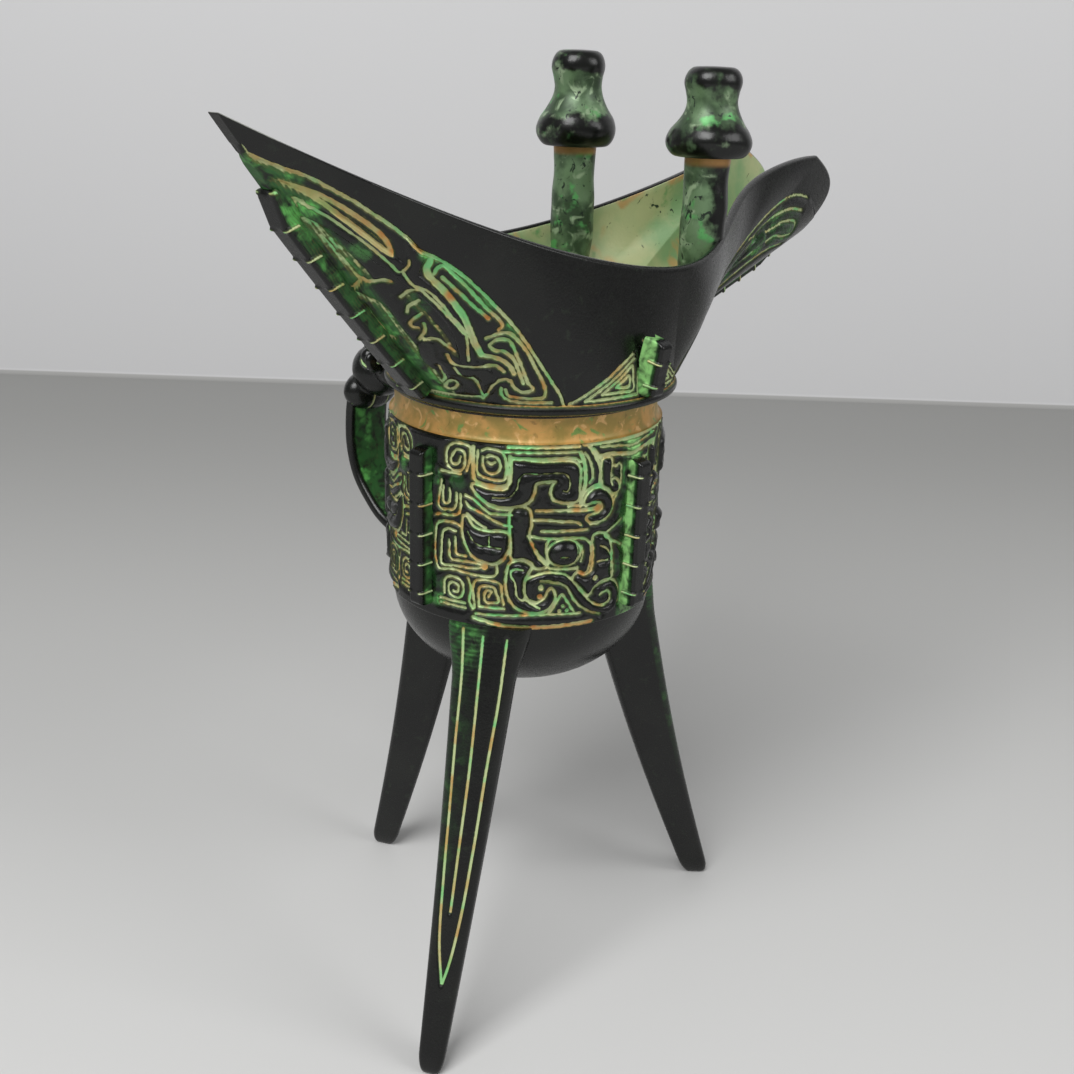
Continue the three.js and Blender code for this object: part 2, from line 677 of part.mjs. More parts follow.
addPiece('flange_body_tail', bodyFlange(towardsTail, bodyCutter), darkBronze);
addPiece('flange_body_front', bodyFlange(towardsFront, bodyCutter), darkBronze);
addPiece('flange_body_spout', bodyFlange(towardsSpout, bodyCutter), darkBronze);
addPiece('flange_neck_tail',
  keelFlange(tailKeel, tailFlangeStart, tailFlangeEnd, towardsTail, bodyCutter, tailNotchTilt),
  darkBronze);
addPiece('flange_neck_spout',
  keelFlange(spoutKeel, spoutFlangeStart, spoutFlangeEnd, towardsSpout, bodyCutter), darkBronze);
addPiece('flange_neck_front', neckFlange(towardsFront, bodyCutter), darkBronze);
addPiece('flange_neck_handle', neckFlange(towardsHandle, bodyCutter), darkBronze);

// The origin lies on the floor, under the middle of the whole goblet
const reach = new THREE.Box3().setFromObject(goblet);
const middle = reach.getCenter(new THREE.Vector3());
goblet.position.set(-middle.x, -middle.y, -reach.min.z);

export default goblet;
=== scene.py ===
# %% [markdown]
# # A bronze wine goblet of the jue kind
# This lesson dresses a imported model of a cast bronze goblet: three blade legs, a round-bottomed
# cup, a flared mouth with spout and tail, two capped posts, a strap handle and notched flanges.
# The cup and mouth carry cast relief, with patina lying in its cuts. In the frame lengths are
# metres, +Z is up, the spout points along +X and the handle along +Y. The shapes below are written
# in millimetres from the cup's axis and the floor, and are turned to metres when a mesh is made.

# %% Load the frame
import math

import bmesh
import bpy
import numpy as np
from mathutils import Matrix, Vector, noise
from mathutils.kdtree import KDTree


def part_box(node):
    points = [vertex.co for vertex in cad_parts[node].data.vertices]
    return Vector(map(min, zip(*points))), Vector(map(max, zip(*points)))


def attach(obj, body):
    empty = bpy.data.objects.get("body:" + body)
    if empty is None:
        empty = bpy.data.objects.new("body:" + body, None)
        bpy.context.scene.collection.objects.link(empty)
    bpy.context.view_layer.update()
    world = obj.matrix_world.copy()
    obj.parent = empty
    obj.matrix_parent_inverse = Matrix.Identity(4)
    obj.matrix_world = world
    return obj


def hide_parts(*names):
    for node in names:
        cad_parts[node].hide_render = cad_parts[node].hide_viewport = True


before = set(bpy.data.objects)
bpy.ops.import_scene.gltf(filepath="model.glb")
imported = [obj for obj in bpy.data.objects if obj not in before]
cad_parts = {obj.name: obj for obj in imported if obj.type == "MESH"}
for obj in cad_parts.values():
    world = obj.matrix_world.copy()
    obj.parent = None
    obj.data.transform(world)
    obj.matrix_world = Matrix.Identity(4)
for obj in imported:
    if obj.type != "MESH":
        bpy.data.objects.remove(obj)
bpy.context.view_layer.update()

MM = 0.001
cup_low, cup_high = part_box("cup")
AXIS = Vector(((cup_low.x + cup_high.x) / 2, (cup_low.y + cup_high.y) / 2, 0))
COARSE = 1
print("nodes", len(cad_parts), "cup axis at", tuple(round(c / MM, 2) for c in AXIS))

# %% [markdown]
# ## Camera
# The photograph looks down on the goblet from beside its tail. The camera's place is measured from
# the cup's axis on the floor, and its field of view from the photograph's focal length in pixels.

# %% Place the camera
SENSOR_MM = 36
PHOTO_SIDE_PX = 1074
PHOTO_FOCAL_PX = 1250
CAMERA_FROM_AXIS = Vector((-212.05, -187.67, 218.63)) * MM
CAMERA_HEADING = math.radians(40.78)
CAMERA_PITCH = math.radians(20.76)
CAMERA_ROLL = math.radians(1.92)


def camera_turn(heading, pitch, roll):
    """The camera's axes as a matrix: X to the picture's right, Y up the picture, -Z into it."""
    level = math.cos(pitch)
    ahead = Vector((math.cos(heading) * level, math.sin(heading) * level, -math.sin(pitch)))
    right = ahead.cross(Vector((0, 0, 1))).normalized()
    up = right.cross(ahead)
    turned_right = right * math.cos(roll) + up * math.sin(roll)
    turned_up = up * math.cos(roll) - right * math.sin(roll)
    return Matrix((turned_right, turned_up, -ahead)).transposed().to_4x4()


def put_in_scene(name, data):
    """A new object for this data, linked to the scene."""
    made = bpy.data.objects.new(name, data)
    bpy.context.scene.collection.objects.link(made)
    return made


camera_data = bpy.data.cameras.new("camera")
camera_data.sensor_width = SENSOR_MM
camera_data.lens = PHOTO_FOCAL_PX * SENSOR_MM / PHOTO_SIDE_PX
camera_data.clip_start = 0.01
camera = put_in_scene("camera", camera_data)
turn = camera_turn(CAMERA_HEADING, CAMERA_PITCH, CAMERA_ROLL)
camera.matrix_world = Matrix.Translation(AXIS + CAMERA_FROM_AXIS) @ turn
bpy.context.scene.camera = camera
print("camera lens", round(camera_data.lens, 1), "mm")

# %% [markdown]
# ## Colours and nodes
# Colours are written as sRGB hex, as a paint chip is read, and turned to linear light by one function.
# Patterns are sized in millimetres: noise of scale s has features about 1/s metres across.

# %% Helpers for materials


def rgb(hex_colour):
    """An sRGB hex colour as linear RGBA."""
    parts = [int(hex_colour[i:i + 2], 16) / 255 for i in (1, 3, 5)]
    return (*[c / 12.92 if c <= 0.04045 else ((c + 0.055) / 1.055) ** 2.4 for c in parts], 1)


def new_material(name):
    """An empty node material and its output node."""
    material = bpy.data.materials.new(name)
    material.use_nodes = True
    material.node_tree.nodes.clear()
    return material, add(material.node_tree, "ShaderNodeOutputMaterial")


def add(tree, kind, settings=(), links=()):
    """Adds a node. Settings are attributes or input values by name; links join inputs to sockets."""
    node = tree.nodes.new(kind)
    for name, value in dict(settings).items():
        if isinstance(name, str) and hasattr(node, name):
            setattr(node, name, value)
        else:
            node.inputs[name].default_value = value
    for name, socket in dict(links).items():
        tree.links.new(socket, node.inputs[name])
    return node


def patches(tree, size_mm, detail=4, distortion=0.0):
    """Cloudy noise from 0 to 1 whose patches are about this wide."""
    place = add(tree, "ShaderNodeTexCoord").outputs["Object"]
    settings = {"Scale": 1 / (size_mm * MM), "Detail": detail, "Distortion": distortion}
    return add(tree, "ShaderNodeTexNoise", settings, {"Vector": place}).outputs["Fac"]


def step(tree, value, low, high):
    """A smooth step from 0 at low to 1 at high."""
    settings = {"interpolation_type": "SMOOTHSTEP", "From Min": low, "From Max": high}
    return add(tree, "ShaderNodeMapRange", settings, {"Value": value}).outputs["Result"]


def feed(tree, socket, value):
    """Gives a socket a number, a hex colour or what another socket puts out."""
    if isinstance(value, str):
        socket.default_value = rgb(value)
    elif isinstance(value, (int, float)):
        socket.default_value = value
    else:
        tree.links.new(value, socket)


def blend_colour(tree, share, first, second):
    """A colour between two, each a hex colour or a socket."""
    node = add(tree, "ShaderNodeMix", {"data_type": "RGBA"}, {"Factor": share})
    first_colour, second_colour = node.inputs[6:8]
    feed(tree, first_colour, first)
    feed(tree, second_colour, second)
    return node.outputs[2]


def mottle(tree, size_mm, low, high, first, second, detail=4, distortion=0.0):
    """Two colours in cloudy patches: the first where the noise is below low, the second above high."""
    share = step(tree, patches(tree, size_mm, detail, distortion), low, high)
    return blend_colour(tree, share, first, second)


def calculate(tree, operation, *values):
    """Arithmetic on values, each a number or a socket."""
    node = add(tree, "ShaderNodeMath", {"operation": operation})
    for socket, value in zip(node.inputs, values):
        feed(tree, socket, value)
    return node.outputs[0]


def read_value(tree, name):
    """A value that the mesh carries at its points."""
    return add(tree, "ShaderNodeAttribute", {"attribute_name": name}).outputs["Fac"]


def surface(tree, output, colour, roughness, metallic, grain_mm, grain_height_mm):
    """Joins a colour and a roughness to a shader with a fine cast grain."""
    grain = patches(tree, grain_mm, 3)
    bump = add(tree, "ShaderNodeBump", {"Strength": 0.6, "Distance": grain_height_mm * MM},
               {"Height": grain})
    shader = add(tree, "ShaderNodeBsdfPrincipled", (),
                 {"Base Color": colour, "Normal": bump.outputs["Normal"]})
    feed(tree, shader.inputs["Roughness"], roughness)
    feed(tree, shader.inputs["Metallic"], metallic)
    tree.links.new(shader.outputs["BSDF"], output.inputs["Surface"])


# %% [markdown]
# ## Patinated bronze
# The metal is a tin bronze under an old black patina, rubbed to a gloss where hands touch it. Green
# and yellow copper salts and ochre earth lie in the cuts. Each relief mesh carries three values at
# its points. "relief" is 0 in a cut, 0.5 on the ground, 1 on a raised or plain surface and above 1
# for grey metal: wear at the tail's tip, and a painted highlight along the rim and the strap's edges.
# "ochre" says where earth lies in the cuts and "bloom" how thickly green salts cover the ground, so
# the patina keeps its place from any side. By the front and handle seams "bloom" also paints a highlight.

# %% Relief bronze, for everything that is cast with a pattern


def worn_black(tree):
    """The old black patina, from warm black to green black."""
    black = mottle(tree, 14, 0.4, 0.7, "#070807", "#10120f")
    return mottle(tree, 2.2, 0.6, 0.74, black, "#171e15", 5, 0.4)


def relief_bronze(name):
    """Black bronze whose cuts hold pale salts: the eye reads bright lines on a dark glossy ground."""
    material, output = new_material(name)
    tree = material.node_tree
    relief = read_value(tree, "relief")
    ochre = read_value(tree, "ochre")
    bloom = read_value(tree, "bloom")
    speckle = calculate(tree, "SUBTRACT", patches(tree, 0.9, 4), 0.5)
    ragged = calculate(tree, "ADD", relief, calculate(tree, "MULTIPLY", speckle, 0.3))
    salts = mottle(tree, 6, 0.44, 0.68, "#bac692", "#bfa262", 3)
    salts = mottle(tree, 8, 0.48, 0.68, salts, "#7cc67e", 3, 0.5)
    earth = mottle(tree, 3, 0.35, 0.65, "#c39c58", "#bd8143", 3)
    salts = blend_colour(tree, ochre, salts, earth)
    cloudy = step(tree, patches(tree, 2.6, 5, 0.6), 0.3, 0.6)
    growth = calculate(tree, "MULTIPLY", step(tree, bloom, 0, 1), cloudy)
    fresh = mottle(tree, 5, 0.5, 0.64, "#2c5f2b", "#5fae55", 3)
    fresh = blend_colour(tree, step(tree, bloom, 1.0, 1.5), fresh, "#93cf7c")
    ground = mottle(tree, 4, 0.35, 0.7, "#0e110c", "#1d2415")
    ground = blend_colour(tree, growth, ground, fresh)
    halo = mottle(tree, 4, 0.4, 0.6, "#3d5a2c", "#5a5a2c", 3)
    cut = step(tree, ragged, 0.28, 0.1)
    near_cut = step(tree, ragged, 0.52, 0.28)
    raised = step(tree, ragged, 0.55, 0.85)
    # Grey metal where the relief passes 1.15: wear at the tail's tip, and a painted highlight along the rim's
    # lip and the strap's edges.
    wear_and_highlight = step(tree, ragged, 1.15, 1.5)
    black = blend_colour(tree, calculate(tree, "MULTIPLY", growth, 0.45), worn_black(tree), fresh)
    colour = blend_colour(tree, raised, ground, black)
    colour = blend_colour(tree, calculate(tree, "MULTIPLY", near_cut, 0.75), colour, halo)
    colour = blend_colour(tree, cut, colour, salts)
    colour = blend_colour(tree, wear_and_highlight, colour, "#8d8f88")
    polish = calculate(tree, "MULTIPLY", raised, -0.27)
    grain = calculate(tree, "MULTIPLY", speckle, 0.2)
    roughness = calculate(tree, "ADD", calculate(tree, "ADD", polish, 0.54), grain)
    surface(tree, output, colour, roughness, metallic=0.25, grain_mm=0.5, grain_height_mm=0.05)
    return material


def moulding_bronze(name):
    """The hollow moulding: gold earth rubbed thin over green salts and black metal."""
    material, output = new_material(name)
    tree = material.node_tree
    gold = mottle(tree, 5, 0.38, 0.62, "#8f7a3c", "#b98f4f")
    gold = mottle(tree, 3, 0.56, 0.66, gold, "#c7a066", 4, 0.8)
    gold = mottle(tree, 4, 0.6, 0.68, gold, "#6d8a44", 4, 0.8)
    colour = mottle(tree, 2.4, 0.6, 0.78, gold, "#54461f", 5, 1.0)
    surface(tree, output, colour, roughness=0.46, metallic=0.25, grain_mm=0.5, grain_height_mm=0.06)
    return material


def green_patina(name):
    """Smooth bronze under mottled green, rubbed grey and black in places and earthy under the caps."""
    material, output = new_material(name)
    tree = material.node_tree
    ochre = read_value(tree, "ochre")
    relief = read_value(tree, "relief")
    green = mottle(tree, 7, 0.38, 0.62, "#647f5c", "#33472f")
    green = mottle(tree, 4, 0.54, 0.68, green, "#8fa583", 4, 0.6)
    green = mottle(tree, 5, 0.58, 0.68, green, "#569a58", 3)
    green = mottle(tree, 2.2, 0.6, 0.68, green, "#1d2a1f", 5, 1.2)
    rubbed = step(tree, calculate(tree, "ADD", relief, patches(tree, 3, 5)), 0.95, 1.25)
    colour = blend_colour(tree, rubbed, green, worn_black(tree))
    colour = blend_colour(tree, ochre, colour, "#b98a4e")
    roughness = calculate(tree, "ADD", calculate(tree, "MULTIPLY", rubbed, -0.14), 0.42)
    surface(tree, output, colour, roughness, metallic=0.25, grain_mm=0.6, grain_height_mm=0.06)
    return material


def inner_patina(name):
    """The inside of the mouth: pale green salts with ochre earth and dark flecks."""
    material, output = new_material(name)
    tree = material.node_tree
    pale = mottle(tree, 16, 0.4, 0.62, "#86a878", "#b3b98a")
    pale = mottle(tree, 11, 0.55, 0.68, pale, "#bd9c68", 3, 0.7)
    pale = mottle(tree, 8, 0.58, 0.7, pale, "#5c9a5e")
    colour = mottle(tree, 3, 0.66, 0.71, pale, "#2a3a2a", 5, 1.5)
    surface(tree, output, colour, roughness=0.4, metallic=0.1, grain_mm=0.8, grain_height_mm=0.08)
    return material


BRONZE = relief_bronze("relief_bronze")
MOULDING = moulding_bronze("earth_rubbed_bronze")
GREEN = green_patina("green_patinated_bronze")
INSIDE = inner_patina("inner_green_patina")
print("materials", [m.name for m in (BRONZE, MOULDING, GREEN, INSIDE)])

# %% [markdown]
# ## Mesh helpers
# Every piece here is a grid of points: rings that go round a cup or a strap, or columns that go
# round a wall. Numpy lays out the points, and the faces are written by index, so that each mesh is
# closed and its faces look outwards.

# %% Grids, curves and pieces
SHARP_ANGLE = math.radians(50)
PATINA_KEYS = ("relief", "ochre", "bloom")


def lerp(a, b, t):
    """From a at t = 0 to b at t = 1."""
    return a + (b - a) * t


def ramp(value, low, high):
    """Smooth step from 0 to 1."""
    t = np.clip((value - low) / (high - low), 0, 1)
    return t * t * (3 - 2 * t)


def grid_faces(rows, columns, wrap_rows=False, wrap_columns=False):
    """Quads over a grid of points. Columns run anticlockwise where rows run up."""
    row, column = np.meshgrid(np.arange(rows if wrap_rows else rows - 1),
                              np.arange(columns if wrap_columns else columns - 1), indexing="ij")
    above, beside = (row + 1) % rows, (column + 1) % columns
    quads = np.stack((row * columns + column, row * columns + beside,
                      above * columns + beside, above * columns + column), -1)
    return quads.reshape(-1, 4).tolist()


def tube_faces(points):
    """Faces of a tube: columns go round it, and its first and last rings are flat ends."""
    rows, columns = points.shape[:2]
    last = (rows - 1) * columns
    ends = [list(range(columns - 1, -1, -1)), list(range(last, last + columns))]
    return grid_faces(rows, columns, wrap_columns=True) + ends


def wall_faces(points):
    """Faces of a wall: rows go round its section, and its first and last columns are flat ends."""
    rows, columns = points.shape[:2]
    first = [row * columns for row in range(rows)]
    last = [row * columns + columns - 1 for row in range(rows - 1, -1, -1)]
    return grid_faces(rows, columns, wrap_rows=True) + [first, last]


def polar(radius, angle, height, middle_x=0.0):
    """Points at a radius and an angle round an upright axis."""
    x, y = middle_x + radius * np.cos(angle), radius * np.sin(angle)
    return np.stack(np.broadcast_arrays(x, y, height), -1)


def facing(heading, out, across, height, middle_x=0.0):
    """Points at a distance out along a heading, and at a distance to its left."""
    x = middle_x + out * math.cos(heading) - across * math.sin(heading)
    y = out * math.sin(heading) + across * math.cos(heading)
    return np.stack(np.broadcast_arrays(x, y, height), -1)


def curve_through(points, spacing, closed=False):
    """Points along a centripetal Catmull-Rom curve, about as far apart as the spacing."""
    p = np.array(points, float)
    ends = (p[-1:], p[:2]) if closed else (2 * p[:1] - p[1:2], 2 * p[-1:] - p[-2:-1])
    p = np.vstack((ends[0], p, ends[1]))
    runs = []
    for a, b, c, d in zip(p, p[1:], p[2:], p[3:]):
        ab, bc, cd = (max(np.linalg.norm(v) ** 0.5, 1e-3) for v in (b - a, c - b, d - c))
        leave = ((b - a) / ab - (c - a) / (ab + bc) + (c - b) / bc) * bc
        arrive = ((c - b) / bc - (d - b) / (bc + cd) + (d - c) / cd) * bc
        count = max(1, math.ceil(np.linalg.norm(c - b) / spacing))
        t = np.arange(count)[:, None] / count
        runs.append((2 * t**3 - 3 * t**2 + 1) * b + (t**3 - 2 * t**2 + t) * leave
                    + (3 * t**2 - 2 * t**3) * c + (t**3 - t**2) * arrive)
    if not closed:
        runs.append(p[-2:-1])
    return np.vstack(runs)


def build_mesh(name, points, faces, values):
    """A mesh from points in millimetres from the cup's axis, which carries values at its points."""
    flat = points.reshape(-1, 3) * MM + np.array((AXIS.x, AXIS.y, 0))
    mesh = bpy.data.meshes.new(name)
    mesh.from_pydata(flat.tolist(), [], faces)
    for key, value in values.items():
        layer = mesh.attributes.new(key, "FLOAT", "POINT")
        layer.data.foreach_set("value", np.ascontiguousarray(value, np.float32).ravel())
    return mesh


def make_piece(name, points, faces, materials, nodes, values, face_finish=None):
    """A mesh with its materials, riding on the body and standing for its nodes."""
    mesh = build_mesh(name, points, faces, values)
    for material in materials:
        mesh.materials.append(material)
    if face_finish is not None:
        mesh.polygons.foreach_set("material_index", np.asarray(face_finish, np.int32))
    return place_piece(name, mesh, nodes)


def place_piece(name, mesh, nodes):
    """Links a mesh as a piece, with its faces outwards and its smooth parts shaded smooth."""
    shape = bmesh.new()
    shape.from_mesh(mesh)
    if shape.calc_volume(signed=True) < 0:
        bmesh.ops.reverse_faces(shape, faces=shape.faces)
        shape.to_mesh(mesh)
    open_edges = sum(not edge.is_manifold for edge in shape.edges)
    shape.free()
    mesh.shade_smooth()
    mesh.set_sharp_from_angle(angle=SHARP_ANGLE)
    piece = put_in_scene(name, mesh)
    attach(piece, "root")
    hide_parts(*nodes)
    print(name, len(mesh.polygons), "faces", open_edges, "open edges")
    return piece


def turned(profile, facets):
    """Rings for a profile of (radius, height) turned about the axis: rows up, columns round."""
    angle = np.arange(facets) / facets * 2 * math.pi
    radius, height = np.array(profile, float).T
    return polar(radius[:, None], angle, height[:, None])


# %% [markdown]
# ## Relief
# A founder cuts the pattern into the clay mould. Here it is drawn as strokes, in millimetres on the
# surface, read from the photograph. A cut is a stroke with a width. A raised body is a
# closed outline, with a cut along its edge. A tree of stroke points gives each point of a mesh its
# distance to the nearest stroke, and the height and the "relief" value come from that distance.

# %% Distances to strokes


def nearest(points, targets):
    """Distance from each point to the nearest of the targets."""
    tree = KDTree(len(targets))
    for i, target in enumerate(targets):
        tree.insert(target if len(target) == 3 else (*target, 0), i)
    tree.balance()
    pad = (0,) * (3 - points.shape[1])
    return np.array([tree.find((*point, *pad))[2] for point in points.tolist()])


def inside(points, ring):
    """Which points lie inside a closed outline."""
    x, y = points.T
    odd = np.zeros(len(x), bool)
    for (x1, y1), (x2, y2) in zip(ring, np.roll(ring, -1, 0)):
        crosses = (y1 > y) != (y2 > y)
        if crosses.any():
            odd[crosses] ^= x[crosses] < (x2 - x1) * (y[crosses] - y1) / (y2 - y1) + x1
    return odd


def square_spiral(x, z, half_width, half_height, turns):
    """A squared spiral with rounded corners, from its outer end to its middle."""
    corners = ((-1, -1), (-1, 1), (1, 1), (1, -1))
    path = []
    for side in range(4 * turns):
        for along in (0.22, 0.78):
            share = 1 - (side + along) / (4 * turns + 1.5)
            a, b = corners[side % 4], corners[(side + 1) % 4]
            path.append((x + half_width * share * lerp(a[0], b[0], along),
                         z + half_height * share * lerp(a[1], b[1], along)))
    return path


RELIEF_REACH = 2.0
PLAIN_RISE, GROUND_RISE, GROUND_SPREAD, BODY_RISE, CUT_DEPTH = 0.1, 0.4, 1.5, 0.55, 0.6
WAVER_SEED, WAVER_SIZE, WAVER_HEIGHT = 7, 1.6, 0.09


class Relief:
    """Cuts, raised bodies and patina on a surface, whose points are flat, and may be solid too.

    "gap" is each point's distance to the edge of the nearest cut, and is negative inside a cut."""

    def __init__(self, flat, lift=None, solid=None, spacing=0.12):
        self.flat, self.lift, self.spacing = flat, lift, spacing
        self.solid = flat if solid is None else solid
        self.gap = np.full(len(flat), RELIEF_REACH)
        self.body, self.ochre, self.bloom = (np.zeros(len(flat)) for _ in range(3))

    def distance(self, path, reach):
        """Distance to a path in millimetres, or a large number beyond reach of its box."""
        targets = path if self.lift is None else self.lift(path)
        low, high = targets.min(0) - reach, targets.max(0) + reach
        near = ((self.solid > low) & (self.solid < high)).all(1)
        found = np.full(len(self.solid), 99.0)
        if near.any():
            found[near] = nearest(self.solid[near], targets)
        return found

    def cuts(self, paths, width):
        """Cuts of one width along open paths."""
        for path in paths:
            gap = self.distance(curve_through(path, self.spacing), RELIEF_REACH + width)
            self.gap = np.minimum(self.gap, gap - width / 2)

    def signed(self, ring, reach):
        """Distance inside (positive) or outside (negative) a closed outline."""
        drawn = curve_through(ring, self.spacing, closed=True)
        gap = self.distance(drawn, reach)
        return np.where(inside(self.flat, drawn), gap, -gap)

    def bodies(self, rings, shoulder=0.7, edge=0.8, height=1.0):
        """Raised bodies, each with a cut round it, and clear of the cuts round the others."""
        for ring in rings:
            gap = self.signed(ring, 3)
            self.body = np.maximum(self.body, ramp(gap, -0.1, shoulder) * height)
            self.gap = np.where(gap > 0, np.maximum(self.gap, gap), self.gap)
            self.gap = np.minimum(self.gap, np.abs(gap + edge / 2) - edge / 2)

    def ridges(self, paths, width, height=1.0):
        """Raised bodies along open paths."""
        for path in paths:
            gap = self.distance(curve_through(path, self.spacing), width)
            self.body = np.maximum(self.body, (1 - ramp(gap, width / 2 - 0.6, width / 2 + 0.1)) * height)

    def tint(self, field, places, reach):
        """Adds patches of patina round some places to a field."""
        gap = self.distance(np.array(places, float), 3 * reach)
        return np.maximum(field, 1 - ramp(gap, reach * 0.3, reach * 1.5))

    def uneven(self):
        """Makes the cuts' edges as uneven as a hand-cut mould."""
        seeded = np.random.default_rng(WAVER_SEED)
        wave = np.zeros(len(self.solid))
        for _ in range(8):
            way = seeded.normal(size=self.solid.shape[1])
            way *= 2 * math.pi / (WAVER_SIZE * seeded.uniform(0.6, 1.7) * np.linalg.norm(way))
            wave += np.sin(self.solid @ way + seeded.uniform(0, 2 * math.pi)) / 4
        self.gap = self.gap + WAVER_HEIGHT * wave

    def cut(self):
        """1 on the floor of a cut and 0 outside it."""
        return 1 - ramp(self.gap, -0.25, 0.2)

    def height(self):
        """Millimetres over the plain surface: sunk cuts, pillowed ground, raised bodies."""
        ground = PLAIN_RISE + GROUND_RISE * ramp(self.gap, 0, GROUND_SPREAD)
        return ground + BODY_RISE * self.body - CUT_DEPTH * self.cut()

    def value(self):
        """0 in a cut, 0.5 on the ground, 1 on a body or a broad plain surface."""
        smooth = np.maximum(ramp(self.gap, 0.2, 0.8), np.minimum(1, self.body))
        return 0.5 * (1 - self.cut()) + 0.5 * smooth * (1 - self.cut())


# %% [markdown]
# ## The band's pattern
# A mask with round eyes, horns and a jaw, cut in two by each flange and filled up with squared
# spirals. S runs round the cup from the seam under the tail (0) to the seam at the front (50).

# %% Strokes of the band
BAND_BODIES = {
    "horn": [(12, 133.9), (15.5, 133.3), (19.3, 133.5), (20.2, 135), (20.3, 139.8), (27, 139.8),
             (33.8, 139.5), (35, 138.3), (35.2, 134.5), (35, 131.3), (31.5, 131.2), (29.8, 132),
             (29.3, 133.4), (29.8, 135), (30.2, 135.8), (26.5, 135.8), (25.4, 135.2), (25, 133),
             (24.1, 131.4), (22.4, 130.3), (20, 129.7), (17, 129.8), (14, 131.4)],
    "claw": [(10.2, 126.4), (12, 124.4), (15, 123.6), (18.5, 123.8), (19.8, 123.4), (20.1, 121.5),
             (19.6, 119.5), (18.6, 117.8), (17, 116.8), (14.5, 117), (12, 118.2), (10.6, 120.5),
             (9.8, 123.5)],
    "nose": [(21, 129.3), (24, 129.3), (24.6, 126), (24.2, 123.8), (25, 121), (26.5, 118.6),
             (28.3, 116.5), (26.4, 116.2), (25.6, 117.2), (23.5, 118.3), (21.2, 118.2), (21, 121)],
    "ear": [(37, 130.2), (37.4, 131.6), (38.8, 132.9), (40.4, 133.1), (42.2, 132.2), (43.6, 130.8),
            (44, 129), (43.6, 127.6), (42.4, 126.3), (40.5, 125.8), (38.6, 126), (37.8, 126.8),
            (39.4, 127.2), (41, 127.6), (41.7, 128.6), (41.3, 129.9), (40, 130.5), (38.4, 130.4)],
    "crest": [(41.3, 139.5), (43, 139.3), (43, 136), (43.3, 134.2), (44.6, 134.4), (45.5, 133.4),
              (45.2, 131.9), (44.4, 131.7), (43.2, 132.8), (41.6, 133.8), (41.2, 135)],
    "cheek": [(39.8, 122.3), (42.6, 122), (44, 119.5), (44.5, 116), (44.8, 111.8), (42, 111.4),
              (40, 110.3), (38.8, 108.8), (37, 110.5), (35, 112.9), (36, 114), (37.5, 113.2),
              (39.4, 114), (40, 118), (39.6, 121.3)],
    "jaw": [(24.9, 116.2), (23, 117.3), (20.8, 116.6), (20.1, 113.5), (20.3, 110.2), (21.6, 107.4),
            (24, 105.9), (27, 105.6), (29.4, 106.6), (30.5, 108.8), (29.8, 110.6), (28.6, 108.6),
            (26.6, 107.3), (24.6, 108.2), (23.6, 110), (23.6, 113), (24.3, 114.8)],
}
BAND_CURL = [(24.9, 109.4), (24.9, 112), (26.3, 113.8), (29, 114.1), (31.5, 113.6), (33.6, 112.4),
             (35.2, 110.4), (36.8, 108.2), (38.8, 106), (41, 104.8), (43.8, 104.3), (45.8, 105.6),
             (46.3, 107.6), (45.2, 109.6), (43.2, 110.4), (41.3, 109.5)]
